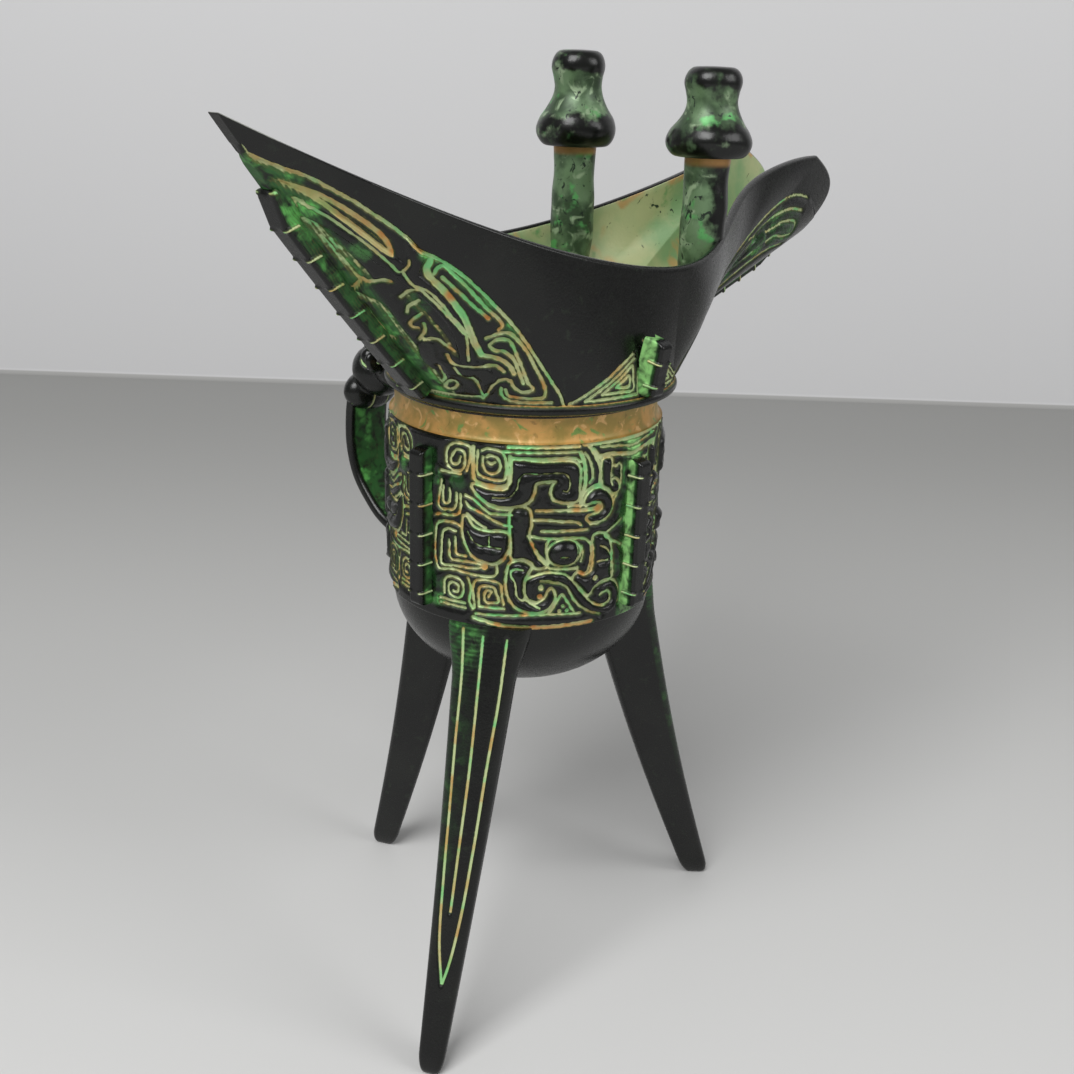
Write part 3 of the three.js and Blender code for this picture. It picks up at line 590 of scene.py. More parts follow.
BAND_LINES = [
    [(5.4, 138.2), (5.4, 140.5), (6.2, 142), (8, 142.8), (10, 142.7), (11, 142.4), (11.2, 141), (11, 139),
     (10.4, 137)],
    [(5.7, 137.5), (7, 136.7), (8.6, 136.7), (9.7, 137.6), (10, 139), (9.8, 141), (9, 141.4), (8, 141.3),
     (7, 140.2), (6.5, 139), (6.7, 138.2), (7.6, 138), (8.5, 138.6), (8.9, 139.8)],
    [(12.9, 141.8), (12.9, 137), (13.8, 136.2), (15.5, 135.9), (17.5, 135.6), (18.9, 136), (19.2, 137.5),
     (19.1, 140), (18.5, 141.6), (17, 142.3), (15, 142.4), (13.9, 141.9)],
    [(14.1, 140.5), (14.2, 138.5), (15, 137.3), (16.5, 137), (17.7, 137.8), (17.9, 139.3), (17.2, 140.6),
     (15.8, 141), (15, 140.6)],
    [(15.1, 139.6), (16, 139.2), (16.8, 139.6)], [(4, 136), (9, 136)],
    [(4.1, 133.8), (3.6, 131), (3.3, 128), (4, 127.3), (6, 127.5), (7.3, 127.8), (7.9, 129), (8, 131.5)],
    [(9, 131.5), (9, 128), (8.3, 126.8), (6.5, 126.2), (4, 126), (2.5, 125.5)],
    [(4.6, 132.6), (4.5, 130), (4.9, 128.8), (5.6, 128.8), (6.2, 129.5), (6.4, 131), (6.2, 132.3)],
    [(9.5, 124), (8, 124.6), (5, 124.5), (3, 123.5), (2.5, 121), (2.6, 115), (3.5, 113.2), (7, 113.7),
     (12, 113.4), (15, 113.4), (17, 113.6), (17.7, 114.5), (17.7, 116.5), (18.3, 117.3), (19.5, 118)],
    [(8, 122.8), (6, 123), (4.6, 122), (4.2, 118), (4.2, 114.5), (8, 114.7), (13, 115), (14.8, 115.7)],
    [(6.2, 120.5), (6.3, 119), (6.3, 117), (6.9, 116.1), (9, 116.1), (12.5, 116.2), (14.8, 115.8)],
    [(7.8, 121.4), (7.9, 119), (8.1, 117.6), (10.5, 117.4)],
    [(12.2, 132.8), (13.5, 131.6), (15, 130.6), (17, 130), (19, 129.7), (21.5, 130)],
    [(10.2, 131.5), (12, 130.8), (13.5, 129.8), (14.5, 128.9), (15.7, 128.2), (17.5, 128), (20.8, 128.1)],
    [(10.2, 130), (11.2, 128.9), (13, 128.3), (15, 127.4), (16.5, 126.6), (18.5, 125.8), (20.8, 125.5)],
    [(10.6, 127.3), (12, 126.3), (13.5, 125.3), (15, 124.7)],
    [(11, 112.4), (11.8, 110), (11.5, 108), (11.4, 106.8), (12.3, 105.2)],
    [(12.7, 105.5), (12.7, 111.8), (18.3, 111.9), (18.9, 109), (19.3, 107)],
    [(13.7, 106), (13.7, 110), (14.3, 110.9), (17, 110.9), (17.5, 110), (18.2, 107.6), (17, 107.2),
     (15.3, 107.3), (14.9, 109), (15.5, 110), (16.5, 110), (16, 108.6)],
    [(14, 106.1), (19.5, 106.1)], [(4, 106.2), (10.5, 106.2)], [(4, 105.1), (10.5, 105.1)],
    [(13, 104.2), (20, 104.5), (28, 104.8), (37, 104.4)],
    [(19.5, 143.1), (27, 143.2), (35, 143.2)], [(18, 142.1), (26, 142.1), (35, 142.0)],
    [(20.5, 140.8), (27, 140.7), (34, 140.6), (35.4, 139.8)],
    [(23.4, 115.6), (22, 115.8), (21, 115.3), (20.9, 114), (21.6, 112.9), (22, 111.5), (22.1, 110),
     (22.7, 108.9), (23.6, 108.5), (24, 109), (24, 110), (23.9, 112), (24.2, 113.2), (25.5, 114),
     (27, 114.6), (29, 114.9), (31, 114.6), (33, 114), (34.2, 113), (35.2, 111.8), (36.5, 110),
     (38, 108.4), (39.2, 107), (40, 106.3), (41.5, 105.5), (43, 105.2), (44.3, 105.7), (45, 106.6),
     (44.8, 107.8), (44, 108.4), (42.8, 108.2), (42, 107.9)],
    [(24.3, 108.4), (25.5, 107.4), (27.3, 106.5)],
    [(27.5, 112.9), (29, 112.7), (30.5, 112.3), (32, 111.9), (33.4, 111), (34.3, 109.5), (35.2, 107.8),
     (36.5, 106.4), (38, 105.2), (40, 104), (42, 103.3)],
    [(38.8, 108.2), (39.6, 109.3), (40.8, 110.6), (42.3, 111.3), (44, 111.3), (45.8, 110.6), (47, 109.2),
     (47.4, 107.5), (47.2, 105)],
    [(29.2, 104.8), (30.5, 106.3), (32.3, 109.4), (33.5, 107.8), (35, 105.5), (35.6, 104.5)],
    [(38.6, 125.3), (40, 125.2), (41.5, 125.6), (43, 126.7), (44, 128.3), (44.7, 130), (45.8, 131.5),
     (46.3, 133.3), (46.4, 135.5), (46.2, 137.5), (45.7, 138), (44.8, 137.6), (44, 137.9), (43.4, 137.2),
     (43.4, 136), (43.8, 135.6)],
    [(43.5, 134.8), (43.6, 133.6)],
    [(35.9, 129.8), (36.3, 132), (37.5, 133.2), (39, 134), (40.8, 134), (42, 132.9), (43.4, 132),
     (44.4, 130.8)],
    [(26, 129.2), (33, 129)], [(33, 129.9), (35, 130), (35.9, 129.8)],
    [(25, 127.1), (28, 127), (32, 126.5), (35, 126.1), (36.2, 125.4)],
    [(27.2, 124.5), (32, 124.3), (37.8, 124.1)],
    [(24.3, 123.4), (28, 122.8), (33, 122.6), (35.5, 122.4), (37.5, 121.9), (38.6, 120.8), (39.1, 119),
     (38.9, 116.5), (38.2, 114.2), (37.2, 113.6), (36, 114.4), (35.8, 115.6)],
    [(24.6, 123), (25.6, 120.8), (26.6, 118.6), (28, 117), (28.8, 116.7), (28.6, 118.5), (28.4, 121),
     (28.9, 122.3)],
    [(28.8, 116.3), (29.5, 115.8), (33, 115.4), (35.5, 115.3)],
    [(47.2, 125), (45.5, 123.8), (42.4, 122), (44.5, 120.6), (47.5, 118.8)],
    [(41.2, 119.9), (42.5, 119.2), (43.6, 118.2), (44.3, 117), (44.4, 115), (44.6, 113), (44.8, 111.8)],
    [(40.6, 116.3), (43.4, 116.2)],
    [(36.4, 141.6), (37.6, 139.8), (38.3, 137.8), (38.5, 136), (37.8, 134.8)],
    [(38.6, 142.3), (39.6, 141), (40.6, 139.6)],
    [(40.2, 142.6), (45, 142.1), (50, 141.4)], [(36, 143.4), (50, 143.2)],
]
BAND_BROAD_LINES = [
    [(11.9, 142.5), (11.9, 138), (12, 136), (12.6, 135), (14, 134.5), (16.5, 134.3), (18.5, 134.3),
     (19.8, 135), (20.2, 136.5), (20.3, 139), (20, 141)],
    [(37.4, 143), (38.6, 141.4), (39.6, 139.6), (40.4, 138), (40.5, 136), (40.3, 134.3)],
    [(33, 129), (38, 128.7), (40.4, 128.7)],
    [(35.3, 141.8), (36.2, 140), (36.7, 137.5), (36.8, 135), (36.4, 133), (36, 131.5), (35.9, 129.8)],
    [(40.4, 140.5), (43, 140.6), (46, 140.1), (50, 139.6)],
    [(12.5, 103.1), (16, 102.5), (20, 101.9), (30, 101.8), (40, 101.9)],
]
BAND_FINE_LINES = [
    [(16.5, 131.8), (20, 132.2), (21.6, 134), (22, 136), (23, 137.4), (26, 137.5), (31.5, 137.5),
     (32.7, 136.5), (33, 134.5), (32.4, 133.4), (31.6, 133.6)],
    [(11, 123.4), (12.3, 121.5), (14, 120.5), (15.3, 120.6), (18.6, 120.3)], [(15.9, 122.8), (15.9, 120.7)],
    [(31.4, 118.5), (33.4, 118.4)],
    [(35.2, 121.5), (35.6, 119), (35, 116.5)], [(36.6, 120.5), (37, 118.5), (36.5, 116.8)],
]
BAND_SPIRAL = (7.7, 109.2, 2.8, 3.0, 2)
BAND_DOTS = [(14.8, 115.7, 0.9), (40.4, 128.7, 1.0), (27.5, 111.3, 0.7), (27.3, 109.2, 0.7),
             (40.2, 112.5, 0.8), (32.7, 106.6, 0.5), (31.9, 105.4, 0.5), (33.6, 105.4, 0.5)]
BAND_EYE = (32.5, 119.2, 3.5, 2.8)
BAND_EARTH = [(15, 115.3), (40.3, 128.6), (27.3, 109.4), (20, 117.6), (3, 125.5), (8.4, 127), (16, 134.4),
              (35, 129), (18, 102), (26, 101.8), (34, 101.8), (42, 101.8), (24, 104.6), (46, 141),
              (13.4, 128), (30, 103.2), (39, 103.4), (5.5, 102.5), (2, 115), (2, 118), (1, 142.6), (3, 129),
              (25, 121), (37, 114)]
BAND_BLOOM = [(1, 112), (1.5, 106), (3.5, 110), (3.5, 106), (1.4, 121), (1.2, 136), (1.5, 139), (3, 134.6),
              (48.5, 104), (48.6, 110), (48.4, 116), (48.4, 121), (48.5, 127), (48.4, 132), (48.4, 137),
              (48.2, 141), (8.6, 134.2), (46.6, 128), (46.8, 114)]

# %% [markdown]
# ## Cup
# The cup's body is turned: a round bottom, a core under the band, the hollow moulding above it and
# the bowl inside. The band is four panels, one between each two mould seams, whose outer faces are
# fine grids pushed in and out by the relief.

# %% Turn the cup's body
CUP_RADIUS = 31.8
BAND_LOW_Z = 101.0
BAND_HIGH_Z = 143.8
SEAT_Z = 150.0
BOWL_DEPTH = 23.0
BOTTOM_RADIUS = 30.9
CORE_RADIUS = 30.2
MOULDING_RADIUS = 30.5
BOWL_RADIUS = 27.9
CUP_WALL = 2.6
CUP_FACETS, BOWL_RINGS, HOLLOW_RINGS = 192, 26, 14


def cup_profile():
    """Outside from the middle of the bottom to the seat, and back down inside."""
    turn = np.linspace(0.02, math.pi / 2, BOWL_RINGS)
    outside = list(zip(BOTTOM_RADIUS * np.sin(turn), BAND_LOW_Z - BOWL_DEPTH * np.cos(turn)))
    outside += [(CORE_RADIUS, BAND_LOW_Z + 0.3), (CORE_RADIUS, BAND_HIGH_Z - 0.4)]
    sweep = np.linspace(0, math.pi, HOLLOW_RINGS)
    middle_z, half = (BAND_HIGH_Z + SEAT_Z) / 2, (SEAT_Z - BAND_HIGH_Z) / 2
    outside += list(zip(CUP_RADIUS - 0.1 - (CUP_RADIUS - MOULDING_RADIUS) * np.sin(sweep) ** 0.7,
                        middle_z - half * np.cos(sweep)))
    floor_z = BAND_LOW_Z - BOWL_DEPTH + CUP_WALL
    bowl = [(BOWL_RADIUS, SEAT_Z), (BOWL_RADIUS, BAND_LOW_Z)]
    bowl += list(zip(BOWL_RADIUS * np.sin(turn), BAND_LOW_Z - (BAND_LOW_Z - floor_z) * np.cos(turn)))[::-1]
    return outside, bowl


outside, bowl = cup_profile()
rings = turned(outside + bowl, CUP_FACETS)
height = np.array(outside + bowl)[:-1, 1]
row = np.arange(len(height))
# The top of the hollow, under the mouth's bead, keeps the black bronze as painted shade. The rest of the
# hollow takes the earth-rubbed gold.
in_hollow = (row < len(outside)) & (height > BAND_HIGH_Z - 0.5) & (height < SEAT_Z - 1.0)
finish = np.select([in_hollow, row >= len(outside) - 1], [1, 2], 0)
make_piece("cup_body", rings, tube_faces(rings), [BRONZE, MOULDING, INSIDE], ["cup"],
           {"relief": np.ones(rings.shape[:2])}, np.repeat(finish, CUP_FACETS).tolist() + [0, 2])

# %% Press the band's relief
BAND_STEP = 0.22 * COARSE
BAND_CUT, BAND_BROAD_CUT, BAND_FINE_CUT = 0.72, 1.05, 0.5
CURL_WIDTH, CURL_HEIGHT = 2.0, 0.9
EYE_RISE, EYE_RING, EYE_RING_HALF = 2, 1.12, 0.3
EARTH_REACH, BLOOM_REACH = 1.1, 1.9
BAND_EDGE, BAND_EDGE_HEIGHT = 0.8, -0.7
BLOOM_AND_HIGHLIGHT_BY_FLANGE = (45.6, 48.4)
PLAIN_BY_SEAM = (1.2, 2.4)
EARTH_BELOW = (101.3, 102.6)
QUARTER = math.pi / 2 * CUP_RADIUS


def band_relief():
    """Height over the cup's radius, and the three patina values, on a grid of one quarter."""
    s = np.linspace(0, QUARTER, round(QUARTER / BAND_STEP))
    z = np.linspace(BAND_LOW_Z, BAND_HIGH_Z, round((BAND_HIGH_Z - BAND_LOW_Z) / BAND_STEP))
    flat = np.stack(np.meshgrid(s, z), -1).reshape(-1, 2)
    made = Relief(flat)
    made.bodies(BAND_BODIES.values())
    made.ridges([BAND_CURL], CURL_WIDTH, CURL_HEIGHT)
    made.cuts(BAND_LINES + [square_spiral(*BAND_SPIRAL)], BAND_CUT)
    made.cuts(BAND_BROAD_LINES, BAND_BROAD_CUT)
    made.cuts(BAND_FINE_LINES, BAND_FINE_CUT)
    for x, y, radius in BAND_DOTS:
        made.gap = np.minimum(made.gap, np.hypot(flat[:, 0] - x, flat[:, 1] - y) - radius)
    made.uneven()
    x, y, wide, high = BAND_EYE
    reach = np.hypot((flat[:, 0] - x) / wide, (flat[:, 1] - y) / high)
    dome = np.sqrt(np.clip(1 - reach**2, 0, 1))
    made.body = np.maximum(made.body, dome * EYE_RISE)
    made.gap = np.minimum(made.gap, np.abs(reach - EYE_RING) * high - EYE_RING_HALF)
    made.ochre = made.tint(made.ochre, BAND_EARTH, EARTH_REACH)
    made.bloom = made.tint(made.bloom, BAND_BLOOM, BLOOM_REACH)
    # Beside the front and handle seams the green is pushed to its palest: green salts, brightened as a
    # painted highlight.
    made.bloom = np.maximum(made.bloom, 1.5 * ramp(flat[:, 0], *BLOOM_AND_HIGHLIGHT_BY_FLANGE))
    edge = ramp(np.minimum(flat[:, 1] - BAND_LOW_Z, BAND_HIGH_Z - flat[:, 1]), 0, BAND_EDGE)
    sides = np.minimum(flat[:, 0], QUARTER - flat[:, 0])
    made.body *= ramp(sides, *PLAIN_BY_SEAM)
    height = lerp(BAND_EDGE_HEIGHT, made.height(), edge)
    made.ochre = np.maximum(made.ochre, 0.9 * (1 - ramp(flat[:, 1], *EARTH_BELOW)))
    value = made.value() * lerp(0.4, 1, edge)
    shape = (len(z), len(s))
    return s, z, *(part.reshape(shape) for part in (height, value, made.ochre, made.bloom))


def band_panel(name, start, mirrored, s, z, height, *patina):
    """One quarter of the band from a compass angle, its pattern mirrored or not."""
    if mirrored:
        height, *patina = (part[:, ::-1] for part in (height, *patina))
    angle = start + s / CUP_RADIUS
    radius = CUP_RADIUS + height
    back = [polar(CORE_RADIUS, angle, level) for level in (z[-1], z[0])]
    points = np.concatenate((polar(radius, angle, z[:, None]), back))
    values = {key: np.concatenate((part, part[-2:])) for key, part in zip(PATINA_KEYS, patina)}
    make_piece(name, points, wall_faces(points), [BRONZE], ["cup"], values)


band = band_relief()
for name, quarter, mirrored in (("band_tail_front", 2, False), ("band_spout_front", 3, True),
                                ("band_spout_handle", 0, False), ("band_tail_handle", 1, True)):
    band_panel(name, quarter * math.pi / 2, mirrored, *band)

# %% [markdown]
# ## Mouth
# The mouth is a wall that rises from a round neck and opens into a spout and a tail. A station is
# one place on the rim, with the direction round the neck of the foot of its wall. A curve of the
# second degree joins foot and rim. The wall is made in four quarters that meet on the mould seams,
# each a ring of rows: up the outside, over the rounded rim, down the inside and across the seat.

# %% The wall's surface
NECK_RADIUS = 33.0
NECK_SHIFT = 1.4
RIDGE_HEIGHT = 2.4
WALL = 2.4
HALF_WIDTH = 31.6
SADDLE_X = 14.0
SADDLE_ANGLE = math.radians(64)
TAIL_REACH, TAIL_RISE, TAIL_SWEEP, TAIL_TAPER, TAIL_TIP_HALF, TAIL_SAG = 82.3, 31.3, 1.65, 1.9, 1.4, 3.0
CORNER_X, CORNER_RISE, KEEL_X, SPOUT_DEPTH, SPOUT_HALF, SPOUT_START_X = 102.8, 19.0, 106.6, 23.0, 12.0, 80.0
SPOUT_SWELL, CORNER_ANGLE = 8.0, math.radians(14)
LIP_BULGE, LIP_LIFT, LIP_FULLNESS = 8.5, 1.5, 0.75
WALL_BASE_Z = SEAT_Z + RIDGE_HEIGHT
SADDLE_Z = WALL_BASE_Z + 26.2
CORNER_Z = SADDLE_Z + CORNER_RISE
TIP_ANGLE = math.pi - TAIL_TIP_HALF / NECK_RADIUS
SEAM_T = (math.pi / 2 - SADDLE_ANGLE) / (TIP_ANGLE - SADDLE_ANGLE)


def rim_height(x):
    """Height of the rim, which sweeps up to the tail and swells up to the spout's corner."""
    tail = SADDLE_Z + TAIL_RISE * np.clip((SADDLE_X - x) / (SADDLE_X + TAIL_REACH), 0, 1.2) ** TAIL_SWEEP
    share = np.clip((x - SADDLE_X) / (CORNER_X - SADDLE_X), 0, 1)
    return np.where(x < SADDLE_X, tail, SADDLE_Z + CORNER_RISE * (1 - np.cos(math.pi * share)) / 2)


def station(t, inset=0.0):
    """Rim and foot for t from -2 (spout's keel) by -1 (its corner) and 0 (saddle) to 1 (tail),
    and on to 1.1 round the tail's blunt tip."""
    lip, spout, tail = np.clip(t + 2, 0, 1), np.clip(t + 1, 0, 1), np.clip(t, 0, 1)
    tip = np.clip((t - 1) / 0.1, 0, 1)
    turn = lip * math.pi / 2
    share = 1 - np.cos(turn)
    lip_x = lerp(KEEL_X, CORNER_X, share) + LIP_BULGE * np.sin(math.pi * share**LIP_LIFT)
    half = SPOUT_HALF - inset
    lip_z = CORNER_Z - (SPOUT_DEPTH - inset) * (1 - share)
    spout_x = lerp(CORNER_X, SADDLE_X, spout)
    opening = (1 + np.cos(math.pi * np.minimum(1, (spout_x - SADDLE_X) / (SPOUT_START_X - SADDLE_X)))) / 2
    tip_x, tip_half = -TAIL_REACH + inset * 2.4, max(TAIL_TIP_HALF - inset, TAIL_TIP_HALF / 4)
    tail_x = lerp(SADDLE_X, tip_x, tail)
    tail_half = lerp(HALF_WIDTH - inset, tip_half, tail**TAIL_TAPER) * np.sqrt(1 - tip**2)
    angle = np.where(t < -1, CORNER_ANGLE * lip, np.where(t < 0, lerp(CORNER_ANGLE, SADDLE_ANGLE, spout),
                     lerp(SADDLE_ANGLE, TIP_ANGLE, tail) + (math.pi - TIP_ANGLE) * tip))
    x = np.where(t < -1, lip_x, np.where(t < 0, spout_x, tail_x))
    y = np.where(t < -1, half * np.sin(turn) ** LIP_FULLNESS,
                 np.where(t < 0, lerp(half, HALF_WIDTH - inset, opening), tail_half))
    z = np.where(t < -1, lip_z, rim_height(x))
    return angle, x, y, z


def wall(t, h, inset=0.0):
    """A point of the wall above station t, from the ridge at h = 0 to the rim at h = 1."""
    angle, x, y, z = station(t, inset)
    radius = NECK_RADIUS - inset
    foot_x, foot_y = NECK_SHIFT + radius * np.cos(angle), radius * np.sin(angle)
    middle_x, middle_z = (foot_x + x) / 2, (WALL_BASE_Z + z) / 2 - TAIL_SAG * np.maximum(0, -np.cos(angle))
    middle_y = (foot_y + y) / 2 + SPOUT_SWELL * np.sin(math.pi * np.minimum(1, angle / SADDLE_ANGLE))
    a, b, c = (1 - h) ** 2, 2 * h * (1 - h), h**2
    return np.stack((a * foot_x + b * middle_x + c * x, a * foot_y + b * middle_y + c * y,
                     a * WALL_BASE_Z + b * middle_z + c * z), -1)


LIFT_GRID = (160, 90)
LIFT_ROUNDS = 5


def wall_lift(first_t, last_t):
    """A function that finds where side-view points (x, z) lie on the wall between two stations."""
    along, up = np.linspace(first_t, last_t, LIFT_GRID[0]), np.linspace(0, 1, LIFT_GRID[1])
    t, h = (part.ravel() for part in np.meshgrid(along, up))
    seen = wall(t, h)[:, [0, 2]]
    tree = KDTree(len(seen))
    for i, (x, z) in enumerate(seen.tolist()):
        tree.insert((x, z, 0), i)
    tree.balance()

    def lift(path):
        start = np.array([tree.find((x, z, 0))[1] for x, z in path.tolist()])
        place_t, place_h = t[start].copy(), h[start].copy()
        small = 1e-4
        for _ in range(LIFT_ROUNDS):
            here = wall(place_t, place_h)[:, [0, 2]]
            by_t = (wall(place_t + small, place_h)[:, [0, 2]] - here) / small
            by_h = (wall(place_t, place_h + small)[:, [0, 2]] - here) / small
            miss = path - here
            area = by_t[:, 0] * by_h[:, 1] - by_t[:, 1] * by_h[:, 0]
            area = np.where(np.abs(area) < 1e-3, 1e-3, area)
            step_t = (miss[:, 0] * by_h[:, 1] - miss[:, 1] * by_h[:, 0]) / area
            step_h = (by_t[:, 0] * miss[:, 1] - by_t[:, 1] * miss[:, 0]) / area
            place_t = np.clip(place_t + np.clip(step_t, -0.05, 0.05), first_t, last_t)
            place_h = np.clip(place_h + np.clip(step_h, -0.1, 0.1), 0, 1)
        return wall(place_t, place_h)

    return lift


# %% [markdown]
# ## The mouth's pattern
# Under the tail a long leaf of nested lines and a dark horned body rises to a yellow wedge. At the
# front and at the handle a triangle stands on the ridge. Strokes are (x, z) as seen from the side.

# %% Strokes of the mouth
LEAF_EDGE = [(-78, 203.5), (-75.5, 202), (-72, 200.3), (-68, 198.7), (-64, 196.4), (-60, 194), (-56, 191.2),
             (-54, 189.8), (-51, 187.4), (-48.6, 185), (-46.3, 184), (-42, 181.2), (-38, 177.8),
             (-34, 173.8), (-31.5, 171.3), (-29, 168.3), (-26, 164.3), (-23.5, 160.8), (-21, 157.3),
             (-19, 154.3), (-18.2, 152.5)]
LEAF_REGION = [*LEAF_EDGE, (-18.2, 150), (-40, 150), (-90, 190), (-86, 204)]
TAIL_WEDGE = [(-71.8, 198.2), (-66, 196.3), (-62, 194), (-58, 191.2), (-54.8, 188.6), (-53, 186.2),
              (-52.2, 183.8), (-53.8, 184.6), (-57, 187.2), (-62, 191.3), (-67, 195.1)]
TAIL_CUTS = [
    [(-68, 194.6), (-64, 192.2), (-60, 189.2), (-56, 186), (-52, 182.4), (-50.6, 181.2), (-49.8, 182.4),
     (-50, 183.5)],
    [(-50, 180.8), (-48, 178.5), (-46, 177.6), (-43, 174.8), (-41, 172.4), (-38, 169), (-36.4, 165.5),
     (-35.2, 162.6)],
    [(-48.6, 175.8), (-48.2, 177), (-47, 177.7), (-45.8, 176.8), (-42, 173), (-38, 168.6)],
    [(-46.6, 172.5), (-46.9, 174), (-46.2, 175.2)],
    [(-54.3, 179.4), (-53.4, 178.8), (-52, 179.2), (-51, 179)], [(-54.4, 179), (-54, 176.6)],
    [(-44.8, 172.4), (-45.2, 170.6), (-44.6, 169.4), (-43.8, 169.2)],
    [(-43.6, 170.2), (-42.8, 168.6), (-42.4, 166.6)],
    [(-42, 166.8), (-40.8, 166.9), (-39.4, 165.8), (-37.6, 164.3)],
    [(-38, 163.4), (-37, 162), (-35.5, 161.2), (-33, 161.2), (-31.4, 161.4), (-30.2, 160.6), (-29.6, 160)],
    [(-45.6, 180.6), (-45.3, 181.9), (-44.6, 182.3), (-43, 181), (-40, 178.2), (-36, 174), (-33.4, 171.5),
     (-32.4, 170), (-32.8, 169.2)],
    [(-44.2, 180), (-42, 178), (-38, 174.2), (-35, 171.6)],
    [(-34.4, 167.4), (-33, 168.2), (-31.6, 168.6), (-30.4, 168.2), (-29, 166.8), (-27, 164.4),
     (-24.8, 160.8), (-23, 157.8), (-21.9, 155.4), (-22, 154.2), (-23.5, 153.8), (-25.6, 154),
     (-27, 154.4), (-27.9, 155.8)],
    [(-33.4, 166), (-32.8, 167), (-31.8, 167.2), (-30.8, 167), (-29.8, 165.8), (-28.2, 163), (-26.6, 160),
     (-25.2, 157.4), (-24.1, 156), (-24.8, 155.4), (-25.8, 155.5), (-26.8, 156.2), (-28, 158)],
    [(-33.3, 165.6), (-32.4, 164.8), (-31.2, 164.6), (-29.6, 163.6), (-28.4, 162), (-27, 159.4),
     (-26, 157.4)],
    [(-29.2, 153.2), (-29.6, 155), (-29.9, 156.8), (-29.4, 158), (-28.6, 158.2), (-28, 157.8)],
    [(-28.6, 156.2), (-28, 154.8), (-26.6, 153.3), (-25, 152.9), (-20.4, 153)],
    [(-37.5, 161), (-36.2, 159.2), (-35, 157.6), (-34.6, 156.8)],
    [(-35.8, 160.6), (-34.2, 158.8), (-32.6, 158), (-31.4, 156.6), (-30.4, 155.2), (-29.6, 154)],
    [(-33.1, 156.1), (-32.7, 155.2), (-32.7, 154.7), (-33.1, 154.9), (-33.7, 155.7), (-34.1, 156.6),
     (-34.1, 157.1), (-33.7, 156.9), (-33.2, 156.3)],
    [(-34.8, 155.4), (-33.6, 154), (-32.2, 153.3), (-30.6, 153.3), (-29.6, 153.6)],
]
TAIL_FIN_LINES = [
    [(-67, 193.2), (-62, 188), (-57, 183.2), (-54.5, 180.6), (-53, 178.8)],
    [(-65.5, 191), (-61, 186.2), (-57, 182), (-54.8, 179.6)],
    [(-47.8, 176), (-44, 172), (-40, 167.5), (-37, 163.5), (-35.5, 162.8)],
    [(-53.4, 176.2), (-50, 174), (-46, 169.5), (-42, 165), (-38, 160.5), (-34, 156), (-31, 153)],
    [(-51, 173.4), (-47, 169), (-43, 164.4), (-39, 159.8), (-35, 155.2), (-33, 153)],
    [(-48, 168.6), (-44, 163.8), (-40, 159.2), (-36.4, 155)],
]
WEDGE_RIPPLE = 4.2
FIN_TOP_SHARE, FIN_STRIATION, FIN_SAMPLES, FIN_DULL, FIN_STREAK = 0.8, 0.8, 90, 0.42, 0.16
TAIL_SPIKES = [[(-64, 185.5), (-62, 184.8)], [(-58.5, 180.3), (-56.8, 179.7)], [(-55, 175.2), (-53, 174.4)],
               [(-50.5, 170.6), (-48.5, 170)], [(-46.5, 166.5), (-44.5, 166.6)],
               [(-43.5, 162.3), (-41.5, 162.2)], [(-40, 157.2), (-37, 157.4)]]
TAIL_WIDE_CUT = [(-46.8, 183.3), (-46.9, 181.6), (-46.4, 180.5), (-44, 178), (-41, 174.6), (-39, 172),
                 (-37, 168.6), (-35.4, 165.8), (-34, 163.8)]
TAIL_LOWER_CUT = [(-34, 163.8), (-32.8, 163.4), (-31, 162.8), (-29.2, 161.4), (-28, 159.6)]
TAIL_STEM = [(-66, 192.8), (-62, 190.5), (-58, 187.6), (-54, 184.2), (-51.4, 182.2), (-49.4, 180.4),
             (-47.4, 178.8), (-45, 176.6), (-42.6, 174.2), (-40, 171.2), (-38, 168), (-36.4, 165),
             (-34.8, 162), (-32, 159.6), (-30.8, 158), (-30.2, 156)]
TAIL_HORN = [(-49.2, 181.6), (-49.3, 184.4), (-50, 187)]
TAIL_BRANCH = [(-41, 165.4), (-39, 162.4), (-36.6, 160.6), (-34.4, 160.2)]
TAIL_EARTH = [(-52.4, 185), (-53.4, 186.6), (-55, 188), (-35, 171.4), (-50.4, 178.4), (-26, 154), (-38, 165),
              (-42, 176.4), (-23, 156.6), (-33, 169.8)]
TAIL_BLOOM = [(-72, 194.6), (-67, 190), (-62, 185.6), (-58, 181.6), (-54, 177.2), (-50, 172.2), (-46, 167.4),
              (-42, 162.6), (-38, 158), (-34, 154), (-57, 185), (-46, 174.6), (-37, 158.8), (-47, 185),
              (-40, 180), (-35.6, 175.4), (-30, 169.8), (-75, 199)]
FRONT_EDGE = [(-17.2, 152.5), (-14.6, 154.2), (-10.4, 156.8), (-6, 159.6), (-2, 162), (1.4, 164.3)]
FRONT_CUTS = [
    [(-14.2, 153), (-12.4, 154.3), (-9.6, 156), (-6, 158.2), (-3, 160.1), (-0.8, 161.4), (-0.9, 157),
     (-1, 153.4)],
    [(-14.2, 153), (-9, 153.1), (-1.2, 153.2)],
    [(-10.6, 154.2), (-8.2, 155.8), (-5.4, 157.5), (-2.4, 159.3), (-2.3, 156.6), (-2.3, 154.3),
     (-6, 154.2), (-10.6, 154.2)],
    [(-7.2, 155.3), (-5.4, 156.4), (-3.5, 157.4), (-3.5, 155.3), (-7.2, 155.3)],
]
FRONT_REGION = [*FRONT_EDGE, (20, 152.5), (20, 150), (-17.2, 150)]


def front_mirrored(path):
    """The same path on the other side of the neck's middle."""
    return [(2 * NECK_SHIFT - x, z) for x, z in path]


